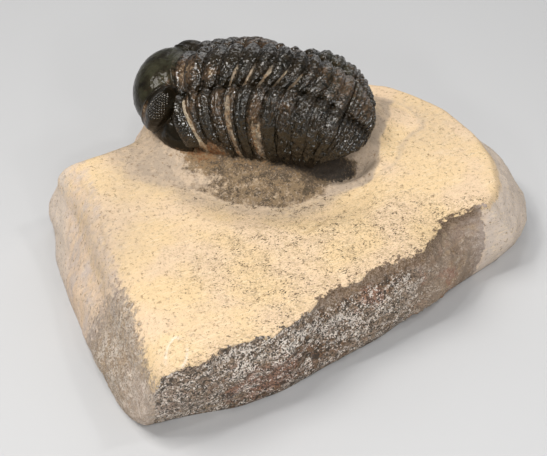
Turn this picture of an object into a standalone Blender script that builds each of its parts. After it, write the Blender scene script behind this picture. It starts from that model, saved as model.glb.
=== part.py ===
"""Phacops trilobite lying arched on its slab of limestone.

The shield is built as the animal wore it: a head shield, eleven thorax segments and a tail shield. The
segments are thin plates that ride over a core of rock, and the core is one piece with the slab. Shapes are
worked out in millimetres and stored in metres, +Z up. The origin is the middle of the slab's footprint, on
its flat base.
"""

import math

import bmesh
import bpy
import numpy as np
from mathutils import Vector

MM = 0.001
SHARP_EDGE = 40.0
BACK_TABLE_STEPS = 1200

# The slab: its outline where the top face breaks to the sides, and its outline at the base, in millimetres.
# Each outline is four runs that go from corner to corner: front, right, back and left.
TOP_FRONT = ((-21.5, -44), (-13.5, -41), (-6, -35.5), (2, -32), (10, -22.5), (21, -14), (31, -9), (36.5, 2),
             (46, 5.5))
TOP_RIGHT = ((46, 5.5), (49.5, 13), (49.5, 23), (47, 32), (41, 41.5), (34, 48), (27, 53))
TOP_BACK = ((27, 53), (14, 57.5), (0, 58.5), (-13, 56), (-24, 48), (-29.5, 38), (-32, 30), (-40.5, 25),
            (-49, 20))
TOP_LEFT = ((-49, 20), (-43, 9), (-37, -8), (-31.5, -24.5), (-27, -34), (-21.5, -44))
BASE_FRONT = ((-25.5, -38.5), (-17, -35.5), (-7, -33), (2, -28), (12.5, -20), (22.5, -13), (32, -4),
              (41.5, 4), (51, 12))
BASE_RIGHT = ((51, 12), (57.5, 19), (59, 28), (55, 38), (48, 46), (39, 53), (29, 57.5))
BASE_BACK = ((29, 57.5), (15, 61.5), (0, 62), (-15, 60), (-28, 53), (-36, 43), (-43, 33), (-51.5, 25))
BASE_LEFT = ((-51.5, 25), (-50.5, 13), (-45, -2), (-38.5, -17), (-31.5, -31), (-25.5, -38.5))
FOOTPRINT_MIDDLE = (3.68, 9.36)
SLAB_CELLS = 28
SIDE_ROWS = 4
SIDE_BULGE = 1.6
RIGHT_BULGE = 2.4
LEDGE_DEPTH = 0.9
LEDGE_WAVES = (4.3, 5.1)
LEDGE_SLANT = (5.0, 3.0)
ROCK_TOP = 21.9
ROCK_SWELL = 0.45
SWELL_WAVES = (9.0, 11.0)
SWELL_START = (0.7, 0.4)
HOLLOW_PLACE = (3, 14)
HOLLOW_SIZE = (28, 18)
HOLLOW_DEPTH = 3.0
HOLLOW_WALL_X = 25.0
HOLLOW_WALL_RUN = 6.0

# The trilobite's own frame: x along the body with the head at -x, y across it, z up from the bed it lies on.
BED_HEIGHT = 26.5
BODY_PLACE = (-2.0, 33.3)
BODY_YAW = -15.0
BODY_ROLL = 9.0
FOOT_LENGTH = 26.5
FOOT_WIDTH = 15.8
FOOT_POWER = 2.3
PEDESTAL_REACH = 1.6
PEDESTAL_RUN = 0.58
BACK_SHOULDER = 0.3
UNDERCUT = 0.4
UNDERCUT_START_X = 8.0
UNDERCUT_RUN = 14.0
HEAD_END_SPREAD = 0.55
HEAD_END_TURN = 0.5
HEAD_END_CUT = 0.42
HEAD_END_STEEPER = 0.4

# The back line, from the joint of head and thorax to the tip of the tail.
SEGMENTS = 11
FIRST_SEGMENT = 3.45
LAST_SEGMENT = 3.95
TAIL_LENGTH = 11.8
HEAD_JOINT_X = -17.4
CREST_HEIGHT = 17.7
PITCH_AT_HEAD = -22.0
PITCH_AT_TAIL = 44.0
PITCH_AT_TIP = 86.0
PITCH_GROWTH = 1.7
BORDER_LENGTH = 3.2
BORDER_ROWS = 4
BORDER_RISE = 0.7

# The margin, where the tips of the segments meet the bed.
MARGIN_START_X = -10.6
MARGIN_RUN = 26.2
MARGIN_BUNCHING = 42.0
TAIL_MARGIN_SWING = 1.6
TAIL_MARGIN_LIFT = 5
GAP = 0.3
SHELL = 0.8
CORE_CLEARANCE = 0.4
CORE_ROOT = 3.0

# Half widths of the body, and the axial lobe that stands above the side lobes.
HALF_WIDTH = 15.6
HALF_WIDTH_TAIL = 13.4
WIDTH_TAPER = 1.8
AXIS_WIDTH = 6.8
AXIS_WIDTH_TAIL = 5.0
AXIS_WIDTH_TIP = 2.0
AXIS_RISE = 3.4
AXIS_RISE_TAIL = 2.4
AXIS_SHARE = 0.36
AXIS_LIMIT = 0.45
AXIS_TURN = 75.0
FURROW_TURN = 22.0
FAR_SINK = 3.8
FAR_SINK_MIDDLE = 23.0
FAR_SINK_SPREAD = 6.0
FAR_SINK_RUN = 0.25
RING_BOW = 3.8
RING_RISE = 0.7
RING_CREST = 0.6
TIP_START = 0.8
TIP_NARROWING = 0.3
SECTION_STEPS = 22
FLOOR_STEPS = 3
SEGMENT_ROWS = 4
SMALLEST_PLATE_SHARE = 0.1
TIP_LOWERING = 0.5
TAIL_RINGS = 6
ROWS_PER_RING = 3
TAIL_RING_RISE = 0.35
TAIL_BORDER = 0.25
TAIL_EDGE = 0.7
TAIL_TIP_SMOOTH = 0.3

# The head: ellipsoids as (centre, radii, lean), in the body's frame. A lean carries the top back along x. The
# head was pressed askew: the near eye is higher and stands as a tall lobe beside the glabella.
GLABELLA = ((-22.9, 0, 3.5), (7.9, 10.8, 8.1), 0)
GLABELLA_ROOT = ((-17.6, 0, 5.6), (6.5, 6.8, 6.6), 0)
CHEEKS = ((-14.8, 0, 0.0), (11.8, 15.8, 9.0), 0)
NEAR_EYE = ((-21.3, -10.4, 6.7), (2.9, 4.1, 6.1), 0.4)
FAR_EYE = ((-20.2, 10.4, 5.0), (4.0, 2.9, 3.8), 0)
HEAD_CENTRE = (-18.6, 0, 3.0)
HEAD_REACH = (2.0, 24.0)
HEAD_REACH_STEPS = 221
HALVINGS = 12
HEAD_CUT = 0.6
BLEND_SHARPNESS = 2.2

SHELL_COLOUR = (0.032, 0.028, 0.023, 1)
SHELL_ROUGHNESS = 0.28
SHELL_COAT = 0.5
ROCK_COLOUR = (0.66, 0.50, 0.31, 1)
ROCK_ROUGHNESS = 0.9


def clear_scene():
    """Starts from an empty scene."""
    for obj in list(bpy.data.objects):
        bpy.data.objects.remove(obj, do_unlink=True)


def material(name, colour, roughness, coat=0.0):
    """A plain opaque material."""
    made = bpy.data.materials.new(name)
    made.use_nodes = True
    shader = made.node_tree.nodes["Principled BSDF"]
    shader.inputs["Base Color"].default_value = colour
    shader.inputs["Roughness"].default_value = roughness
    shader.inputs["Metallic"].default_value = 0.0
    shader.inputs["Coat Weight"].default_value = coat
    return made


def smooth(x):
    """0 below 0, 1 above 1, with an even curve between."""
    x = np.clip(x, 0.0, 1.0)
    return x * x * (3 - 2 * x)


def segment_joints():
    """Distances along the back line where each segment starts, and where the last one ends."""
    lengths = np.linspace(FIRST_SEGMENT, LAST_SEGMENT, SEGMENTS)
    return np.concatenate([[0.0], np.cumsum(lengths)])


THORAX_LENGTH = float(segment_joints()[-1])
BACK_END = THORAX_LENGTH + TAIL_LENGTH


def tail_share(along):
    """0 on the thorax, growing to 1 at the tip of the tail."""
    return np.clip((along - THORAX_LENGTH) / TAIL_LENGTH, 0, 1)


def pitch(along):
    """How far the back slopes down towards the tail, in degrees."""
    share = np.clip(along / THORAX_LENGTH, 0, 1)
    thorax = PITCH_AT_HEAD + (PITCH_AT_TAIL - PITCH_AT_HEAD) * share**PITCH_GROWTH
    return thorax + (PITCH_AT_TIP - PITCH_AT_TAIL) * tail_share(along)


def back_table():
    """The back line, added up from its pitch in short steps: distances, x and z."""
    along = np.linspace(-2 * BORDER_LENGTH, BACK_END, BACK_TABLE_STEPS)
    slope = np.radians(pitch(along))
    step = along[1] - along[0]
    x = np.concatenate([[0], np.cumsum(step * np.cos((slope[1:] + slope[:-1]) / 2))])
    z = np.concatenate([[0], np.cumsum(-step * np.sin((slope[1:] + slope[:-1]) / 2))])
    x += HEAD_JOINT_X - np.interp(0, along, x)
    z += CREST_HEIGHT - z.max()
    return along, x, z


BACK_TABLE = back_table()


def back_point(along):
    """The back line's x and z at a distance along it."""
    table, x, z = BACK_TABLE
    return np.interp(along, table, x), np.interp(along, table, z)


def margin_point(along):
    """Where the section at this distance meets the margin, as x and z."""
    reach = (1 - np.exp(-along / MARGIN_BUNCHING)) / (1 - math.exp(-THORAX_LENGTH / MARGIN_BUNCHING))
    thorax_x = MARGIN_START_X + MARGIN_RUN * np.minimum(reach, 1)
    end_x, end_z = back_point(BACK_END)
    share = tail_share(along)
    x = thorax_x + (end_x - thorax_x) * share**TAIL_MARGIN_SWING
    z = GAP + (end_z - GAP) * share**TAIL_MARGIN_LIFT
    return x, z


def widths(along):
    """Half width of the body, and half width and rise of its axial lobe."""
    share = np.clip(along / THORAX_LENGTH, 0, 1)
    into_tail = tail_share(along)
    close = np.sqrt(np.clip(1 - into_tail**2, 0, 1))
    half = (HALF_WIDTH + (HALF_WIDTH_TAIL - HALF_WIDTH) * share**WIDTH_TAPER) * close
    axis = AXIS_WIDTH + (AXIS_WIDTH_TAIL - AXIS_WIDTH) * share
    axis = np.minimum(axis + (AXIS_WIDTH_TIP - AXIS_WIDTH_TAIL) * into_tail, AXIS_LIMIT * half)
    rise = (AXIS_RISE + (AXIS_RISE_TAIL - AXIS_RISE) * share) * close
    return half, axis, rise


def ring_bow(along, side):
    """How far the rings bow back at the midline: nothing at the furrows and at both ends of the thorax."""
    share = np.clip(along / THORAX_LENGTH, 0, 1)
    return RING_BOW * np.sin(math.pi * share) * np.clip(1 - (side / AXIS_SHARE) ** 2, 0, 1)


def far_sink(along, across):
    """How far the far side lobe was pressed down behind the middle of the back."""
    sunk = FAR_SINK * np.exp(-(((along - FAR_SINK_MIDDLE) / FAR_SINK_SPREAD) ** 2))
    return sunk * smooth((across - AXIS_SHARE) / FAR_SINK_RUN) * smooth((1 - across) / FAR_SINK_RUN)


def body_surface(along, across):
    """A point of the smooth back. across runs from -1 at the near margin, over 0 at the midline, to 1."""
    side = np.abs(across)
    along = along + ring_bow(along, side)
    half, axis, rise = widths(along)
    top_x, top_z = back_point(along)
    foot_x, foot_z = margin_point(along)
    depth = np.hypot(top_x - foot_x, top_z - foot_z)
    turn, dip = math.radians(AXIS_TURN), math.radians(FURROW_TURN)
    lobe = turn * np.minimum(side / AXIS_SHARE, 1)
    outer = -dip + (math.pi / 2 + dip) * np.clip((side - AXIS_SHARE) / (1 - AXIS_SHARE), 0, 1)
    furrow = rise + (depth - rise) * (1 - math.cos(dip))
    on_axis = furrow * (1 - np.cos(lobe)) / (1 - math.cos(turn))
    on_side = rise + (depth - rise) * (1 - np.cos(outer))
    down = np.where(side < AXIS_SHARE, on_axis, on_side)
    reach = (np.sin(outer) + math.sin(dip)) / (1 + math.sin(dip))
    y = axis * np.sin(lobe) / math.sin(turn) + (half - axis) * reach
    share = down / np.maximum(depth, 1e-6)
    x = top_x + (foot_x - top_x) * share
    z = top_z + (foot_z - top_z) * share - far_sink(along, across)
    return np.stack([x, np.sign(across) * y, z], -1)


def outward(along, across):
    """The smooth back's outward normal, from small steps both ways."""
    step = 0.02
    across = np.clip(across, -0.985, 0.985)
    down_body = body_surface(along + step, across) - body_surface(along - step, across)
    over_body = body_surface(along, across + step / 2) - body_surface(along, across - step / 2)
    normal = np.cross(down_body, over_body)
    return normal / np.maximum(np.linalg.norm(normal, axis=-1, keepdims=True), 1e-9)


def spacing(along, across):
    """How many millimetres of surface one millimetre of back line makes, here."""
    step = 0.05
    span = body_surface(along + step, across) - body_surface(along - step, across)
    return np.linalg.norm(span, axis=-1) / (2 * step)


def new_object(name, bm, collection, look):
    """An object from a bmesh, smooth but for its sharp edges."""
    mesh = bpy.data.meshes.new(name)
    bm.to_mesh(mesh)
    bm.free()
    mesh.materials.append(look)
    mesh.shade_smooth()
    mesh.set_sharp_from_angle(angle=math.radians(SHARP_EDGE))
    obj = bpy.data.objects.new(name, mesh)
    collection.objects.link(obj)
    return obj


def move_vertices(bm, points):
    """Puts the vertices at points given in millimetres."""
    for vertex, point in zip(bm.verts, points * MM):
        vertex.co = point


def tube(around, along, place):
    """A capped cylinder whose wall is carried to place(turn, share), turn going round from 0 to 1."""
    bm = bmesh.new()
    bmesh.ops.create_cone(bm, cap_ends=True, segments=around, radius1=1, radius2=1, depth=2)
    uprights = [e for e in bm.edges if abs(e.verts[0].co.z - e.verts[1].co.z) > 1]
    bmesh.ops.subdivide_edges(bm, edges=uprights, cuts=along - 1)
    points = np.array([v.co for v in bm.verts])
    turn = np.round(np.arctan2(points[:, 1], points[:, 0]) / (2 * math.pi) * around) % around / around
    move_vertices(bm, place(turn, (points[:, 2] + 1) / 2))
    bmesh.ops.remove_doubles(bm, verts=bm.verts, dist=1e-6)
    bmesh.ops.recalc_face_normals(bm, faces=bm.faces)
    return bm


def arch_turn(turn, around, bottom):
    """Splits a section's turn into the arch, as across from -1 to 1, and the floor, as a share of its way."""
    index = np.round(turn * around)
    arch_last = around - bottom
    across = np.clip(-1 + 2 * index / arch_last, -1, 1)
    floor = np.clip((index - arch_last) / bottom, 0, 1)
    return across, floor


def section_solid(start, end, along, relief, floor_z):
    """A solid slice of the body from start to end along the back, raised from its surface by a relief.

    Its floor is at floor_z, where the section's own plane meets it, or else runs between the margins.
    """
    bottom = FLOOR_STEPS
    around = SECTION_STEPS + bottom

    def place(turn, share):
        distance = start + (end - start) * share
        across, floor = arch_turn(turn, around, bottom)
        raised = outward(distance, across) * relief(distance, across)[:, None]
        points = body_surface(distance, across) + raised
        points[:, 1] *= 1 - 2 * floor
        if floor_z is not None:
            top_x, top_z = back_point(distance)
            foot_x, foot_z = margin_point(distance)
            floor_x = foot_x + (foot_x - top_x) * (foot_z - floor_z) / (top_z - foot_z)
            lowest = np.abs(across) > 0.999
            points[lowest, 0] = floor_x[lowest]
            points[lowest, 2] = floor_z
        return points

    return tube(around, along, place)


def ellipsoid_distance(points, centre, radii, lean):
    """Roughly how far points lie outside a leaning ellipsoid, below zero inside it."""
    offset = points - np.array(centre)
    offset[..., 0] -= lean * offset[..., 2]
    scaled = np.linalg.norm(offset / np.array(radii), axis=-1)
    slope = offset / np.array(radii) ** 2
    slope[..., 2] -= lean * slope[..., 0]
    return scaled * (scaled - 1) / np.maximum(np.linalg.norm(slope, axis=-1), 1e-6)


def head_distance(points):
    """The head's ellipsoids run into each other with soft valleys between."""
    shapes = (GLABELLA, GLABELLA_ROOT, CHEEKS, NEAR_EYE, FAR_EYE)
    swell = sum(np.exp(-BLEND_SHARPNESS * ellipsoid_distance(points, *shape)) for shape in shapes)
    return -np.log(swell) / BLEND_SHARPNESS


def head_radius(directions):
    """How far the head's surface is from its centre, the outermost crossing along each direction."""
    reach = np.linspace(*HEAD_REACH, HEAD_REACH_STEPS)
    centre = np.array(HEAD_CENTRE)
    outside = head_distance(centre + directions[:, None, :] * reach[None, :, None]) > 0
    last_inside = reach.size - 1 - np.argmax(~outside[:, ::-1], axis=1)
    low = reach[last_inside]
    high = low + (reach[1] - reach[0])
    for _ in range(HALVINGS):
        middle = (low + high) / 2
        inside = head_distance(centre + directions * middle[:, None]) < 0
        low = np.where(inside, middle, low)
        high = np.where(inside, high, middle)
    return low


def cut_away(bm, point, normal):
    """Removes what lies beyond a plane and closes the cut."""
    everything = list(bm.verts) + list(bm.edges) + list(bm.faces)
    bmesh.ops.bisect_plane(bm, geom=everything, dist=1e-7, plane_co=point, plane_no=normal, clear_outer=True)
    rim = [e for e in bm.edges if e.is_boundary]
    bmesh.ops.holes_fill(bm, edges=rim)
    bmesh.ops.recalc_face_normals(bm, faces=bm.faces)


def border_relief(distance, across):
    """The border behind the head's furrow swells like one more segment."""
    return BORDER_RISE * np.sin(math.pi * np.clip(-distance / BORDER_LENGTH, 0, 1))


def build_head(collection, look):
    """The head shield: swollen glabella, cheeks and eyes, joined to the border that carries the neck ring."""
    bm = bmesh.new()
    bmesh.ops.create_uvsphere(bm, u_segments=32, v_segments=20, radius=1)
    directions = np.array([v.co.normalized() for v in bm.verts])
    move_vertices(bm, np.array(HEAD_CENTRE) + directions * head_radius(directions)[:, None])
    top_x, top_z = back_point(-HEAD_CUT * BORDER_LENGTH)
    foot_x, foot_z = margin_point(-HEAD_CUT * BORDER_LENGTH)
    back_face = Vector((top_z - foot_z, 0, foot_x - top_x))
    cut_away(bm, Vector((top_x, 0, top_z)) * MM, back_face)
    cut_away(bm, Vector((0, 0, GAP)) * MM, Vector((0, 0, -1)))
    head = new_object("head_shield", bm, collection, look)

    border_bm = section_solid(-BORDER_LENGTH, -GAP / 2, BORDER_ROWS, border_relief, GAP)
    border = new_object("head_border", border_bm, helpers(), look)
    border.hide_render = True
    border.display_type = "WIRE"
    union = head.modifiers.new("border", "BOOLEAN")
    union.operation = "UNION"
    union.object = border
    return [head, border]


def gridded_box(across_cells, along_cells):
    """A box from -1 to 1 whose top and bottom are grids: across_cells cells along x, along_cells along y."""
    bm = bmesh.new()
    bmesh.ops.create_cube(bm, size=2)
    for axis, cells in ((0, across_cells), (1, along_cells)):
        edges = [e for e in bm.edges if abs(e.verts[0].co[axis] - e.verts[1].co[axis]) > 1]
        bmesh.ops.subdivide_edges(bm, edges=edges, cuts=cells - 1)
    return bm


def build_segment(number, start, end, collection, look):
    """One thorax plate: a thin arch with a raised ring and rounded tips, a gap away from its neighbours."""
    bm = gridded_box(SECTION_STEPS, SEGMENT_ROWS)
    points = np.array([v.co for v in bm.verts])
    across, share, outer = points[:, 0], (1 - points[:, 1]) / 2, points[:, 2] > 0
    middle = np.full_like(across, (start + end) / 2)
    scale = spacing(middle, across)
    gap = np.minimum(GAP / scale, (1 - SMALLEST_PLATE_SHARE) * (end - start))
    tip = np.clip((np.abs(across) - TIP_START) / (1 - TIP_START), 0, 1)
    length = (end - start - gap) * (1 - TIP_NARROWING * tip**2)
    distance = middle + (share - 0.5) * length
    swell = np.sin(math.pi * share ** (math.log(0.5) / math.log(RING_CREST)))
    ring = RING_RISE * np.minimum(scale, 1) * swell * (1 - TIP_LOWERING * tip)
    height = np.where(outer, ring, -SHELL)
    move_vertices(bm, body_surface(distance, across) + outward(distance, across) * height[:, None])
    bmesh.ops.recalc_face_normals(bm, faces=bm.faces)
    return new_object(f"thorax_segment_{number:02d}", bm, collection, look)


def tail_relief(distance, across):
    """The tail's ribs, which fade out towards its smooth border and its tip."""
    share = tail_share(distance)
    fade = smooth((1 - np.abs(across)) / TAIL_BORDER) * smooth((1 - share) / TAIL_TIP_SMOOTH)
    ribs = TAIL_RING_RISE * (1 - np.cos(2 * math.pi * TAIL_RINGS * share))
    return ribs * fade * np.minimum(spacing(distance, across), 1)


def build_tail(collection, look):
    """The tail shield, a solid cap with fused ribs that closes the end of the body."""
    start, end = THORAX_LENGTH + GAP, BACK_END - TAIL_EDGE
    bm = section_solid(start, end, ROWS_PER_RING * TAIL_RINGS, tail_relief, None)
    return new_object("tail_shield", bm, collection, look)


def run_along(points, shares):
    """Points along a run of the outline, evenly spaced by length."""
    corners = np.array(points, float)
    lengths = np.concatenate([[0], np.cumsum(np.linalg.norm(np.diff(corners, axis=0), axis=1))])
    at = shares * lengths[-1]
    return np.stack([np.interp(at, lengths, corners[:, k]) for k in (0, 1)], -1)


def patch(front, right, back, left, u, v):
    """A point of the flat patch inside four runs: u goes with the front run, v with the right one."""
    low, high = run_along(front, u), run_along(back, 1 - u)
    start, end = run_along(left, 1 - v), run_along(right, v)
    u, v = u[:, None], v[:, None]
    corners = [np.array(run[0], float) for run in (front, right, back, left)]
    ruled = (1 - v) * low + v * high + (1 - u) * start + u * end
    shares = ((1 - u) * (1 - v), u * (1 - v), u * v, (1 - u) * v)
    return ruled - sum(share * corner for share, corner in zip(shares, corners))


def to_body(xy):
    """World x and y as the body's own x and y, on the tilted bed that it lies on."""
    yaw = math.radians(BODY_YAW)
    x, y = xy[:, 0] - BODY_PLACE[0], xy[:, 1] - BODY_PLACE[1]
    across = (-x * math.sin(yaw) + y * math.cos(yaw)) / math.cos(math.radians(BODY_ROLL))
    return x * math.cos(yaw) + y * math.sin(yaw), across


def rock_height(xy):
    """The slab's top: a scooped shelf, and a pedestal under the animal, steep at the head and the tail."""
    x, y = xy[:, 0], xy[:, 1]
    along, across = to_body(xy)
    ring = np.abs(along / FOOT_LENGTH) ** FOOT_POWER + np.abs(across / FOOT_WIDTH) ** FOOT_POWER
    undercut = UNDERCUT * smooth((along - UNDERCUT_START_X) / UNDERCUT_RUN)
    head_end = smooth((-along / FOOT_LENGTH - HEAD_END_SPREAD * np.abs(across) / FOOT_WIDTH) / HEAD_END_TURN)
    reach = PEDESTAL_REACH - undercut + BACK_SHOULDER * smooth(across / FOOT_WIDTH) - HEAD_END_CUT * head_end
    run = PEDESTAL_RUN - HEAD_END_STEEPER * head_end
    pedestal = smooth((reach - ring ** (1 / FOOT_POWER)) / run)
    bed = BED_HEIGHT + across * math.sin(math.radians(BODY_ROLL))
    dish = ((x - HOLLOW_PLACE[0]) / HOLLOW_SIZE[0]) ** 2 + ((y - HOLLOW_PLACE[1]) / HOLLOW_SIZE[1]) ** 2
    hollow = HOLLOW_DEPTH * smooth(1 - dish) * smooth((HOLLOW_WALL_X - x) / HOLLOW_WALL_RUN)
    swell_x = np.sin(x / SWELL_WAVES[0] + SWELL_START[0])
    swell_y = np.cos(y / SWELL_WAVES[1] - SWELL_START[1])
    shelf = ROCK_TOP + ROCK_SWELL * swell_x * swell_y - hollow
    return shelf + (bed - shelf) * pedestal


def slab_points(points):
    """Carries the points of a box from -1 to 1 to the slab: top and bottom by outline, sides between them."""
    u, v = (points[:, 0] + 1) / 2, (points[:, 1] + 1) / 2
    drop = (1 - points[:, 2]) / 2
    top = patch(TOP_FRONT, TOP_RIGHT, TOP_BACK, TOP_LEFT, u, v)
    base = patch(BASE_FRONT, BASE_RIGHT, BASE_BACK, BASE_LEFT, u, v)
    flat = top + (base - top) * drop[:, None]
    edge = np.maximum(np.abs(points[:, 0]), np.abs(points[:, 1])) > 0.999
    outwards = flat - flat.mean(axis=0)
    outwards /= np.linalg.norm(outwards, axis=1, keepdims=True)
    bulge = SIDE_BULGE + RIGHT_BULGE * np.clip(outwards[:, 0], 0, 1)
    waves_x = np.sin(flat[:, 0] / LEDGE_WAVES[0] + LEDGE_SLANT[0] * drop)
    waves_y = np.cos(flat[:, 1] / LEDGE_WAVES[1] - LEDGE_SLANT[1] * drop)
    ledges = LEDGE_DEPTH * waves_x * waves_y
    flat = flat + outwards * ((bulge + ledges) * np.sin(math.pi * drop) * edge)[:, None]
    return np.column_stack([flat, rock_height(top) * (1 - drop)])


def core_relief(distance, across):
    """The rock that fills the body lies under the plates."""
    return np.full_like(distance, -SHELL - CORE_CLEARANCE)


def build_slab(collection, look):
    """The limestone slab: a gridded box carried to its outline, with the rock core of the body joined on."""
    bm = bmesh.new()
    bmesh.ops.create_cube(bm, size=2)
    uprights = [e for e in bm.edges if abs(e.verts[0].co.z - e.verts[1].co.z) > 1]
    bmesh.ops.subdivide_edges(bm, edges=uprights, cuts=SIDE_ROWS - 1)
    level = [e for e in bm.edges if abs(e.verts[0].co.z - e.verts[1].co.z) < 0.01]
    bmesh.ops.subdivide_edges(bm, edges=level, cuts=SLAB_CELLS - 1, use_grid_fill=True)
    points = np.array([v.co for v in bm.verts])
    move_vertices(bm, slab_points(points) - (*FOOTPRINT_MIDDLE, 0))
    base = [f for f in bm.faces if max(v.co.z for v in f.verts) < 1e-6]
    bmesh.ops.dissolve_faces(bm, faces=base)
    bmesh.ops.recalc_face_normals(bm, faces=bm.faces)
    slab = new_object("limestone_matrix", bm, collection, look)

    core_bm = section_solid(GAP, THORAX_LENGTH - GAP / 2, SEGMENTS, core_relief, -CORE_ROOT)
    core = new_object("rock_core", core_bm, helpers(), look)
    core.hide_render = True
    core.display_type = "WIRE"
    union = slab.modifiers.new("core", "BOOLEAN")
    union.operation = "UNION"
    union.object = core
    return slab, core


def helpers():
    """The collection of shapes that are joined to a part and aren't parts themselves."""
    found = bpy.data.collections.get("joined_shapes")
    if found is None:
        found = bpy.data.collections.new("joined_shapes")
        bpy.context.scene.collection.children.link(found)
    return found


def main():
    """Builds the slab and the shield, and lays the shield on its bed."""
    clear_scene()
    collection = bpy.data.collections.new("phacops_trilobite")
    bpy.context.scene.collection.children.link(collection)
    shell = material("black_calcite", SHELL_COLOUR, SHELL_ROUGHNESS, SHELL_COAT)
    rock = material("cream_limestone", ROCK_COLOUR, ROCK_ROUGHNESS)

    slab, core = build_slab(collection, rock)
    pieces = build_head(collection, shell)
    joints = segment_joints()
    for number in range(SEGMENTS):
        pieces.append(build_segment(number + 1, joints[number], joints[number + 1], collection, shell))
    pieces.append(build_tail(collection, shell))

    body = bpy.data.objects.new("trilobite", None)
    collection.objects.link(body)
    body.location = Vector((*BODY_PLACE, BED_HEIGHT)) * MM - Vector((*FOOTPRINT_MIDDLE, 0)) * MM
    body.rotation_euler = (math.radians(BODY_ROLL), 0, math.radians(BODY_YAW))
    for piece in pieces + [core]:
        piece.parent = body


main()
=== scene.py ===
"""Finished surfaces of an arched phacops trilobite on its dressed slab of limestone.

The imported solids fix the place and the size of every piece. Each piece below is a fine surface worked out
with numpy, and it stands for its solid. Lengths are in millimetres until a mesh is made, which is in metres.
Distances along the body run from the joint of head and thorax to the tip of the tail. Across runs from -1 at
the near margin, over 0 at the midline, to 1 at the far margin.
"""

import itertools
import logging
import math
from dataclasses import dataclass, field
from enum import Enum
from typing import ClassVar

import bpy
import numpy as np
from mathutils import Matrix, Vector


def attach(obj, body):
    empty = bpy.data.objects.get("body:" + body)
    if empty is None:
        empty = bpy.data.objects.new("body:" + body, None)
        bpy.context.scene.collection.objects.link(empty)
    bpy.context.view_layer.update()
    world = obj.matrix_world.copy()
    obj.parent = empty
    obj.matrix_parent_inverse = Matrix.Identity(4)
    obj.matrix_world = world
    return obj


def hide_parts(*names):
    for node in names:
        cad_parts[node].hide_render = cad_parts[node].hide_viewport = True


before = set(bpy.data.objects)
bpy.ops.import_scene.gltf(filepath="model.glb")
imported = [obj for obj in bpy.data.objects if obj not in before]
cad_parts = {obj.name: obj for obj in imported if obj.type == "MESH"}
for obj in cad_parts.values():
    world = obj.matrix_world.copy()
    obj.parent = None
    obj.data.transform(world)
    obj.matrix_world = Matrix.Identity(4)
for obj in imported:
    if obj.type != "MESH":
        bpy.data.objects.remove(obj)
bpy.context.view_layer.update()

MM = 0.001
IMAGE_WIDTH = 547
FOOTPRINT_MIDDLE = (3.68, 9.36)
LOG = logging.getLogger("trilobite")
# How far from the dressed face's edge its stored value still changes.
EDGE_REACH = 4.0

Array = np.ndarray
Socket = bpy.types.NodeSocket
Material = bpy.types.Material
Colour = tuple[float, float, float]
Place = tuple[float, float, float]
Run = tuple[tuple[float, float], ...]
# A patch is a strength, a middle and a size each way.
Patch = tuple[float, Place, Place]
# A worn place is along, across, half length, half width and strength, on the body's back.
WornPlace = tuple[float, float, float, float, float]


class Slot(Enum):
    """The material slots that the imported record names."""

    LIMESTONE = "limestone"
    SHELL = "fossil_shell"


def smooth(x: Array) -> Array:
    """Gives 0 below 0, 1 above 1, and x squared times (3 - 2x) between."""
    x = np.clip(x, 0.0, 1.0)
    return x * x * (3 - 2 * x)


def bell(x: Array) -> Array:
    """Gives e to the power of minus x squared: 1 at 0, close to 0 past 2."""
    return np.exp(-(x**2))


def spot(points: Array, middle: Place, size: Place) -> Array:
    """A bell round a place in space, as wide each way as its size."""
    return bell(np.linalg.norm((points - np.array(middle)) / np.array(size), axis=1))


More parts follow.
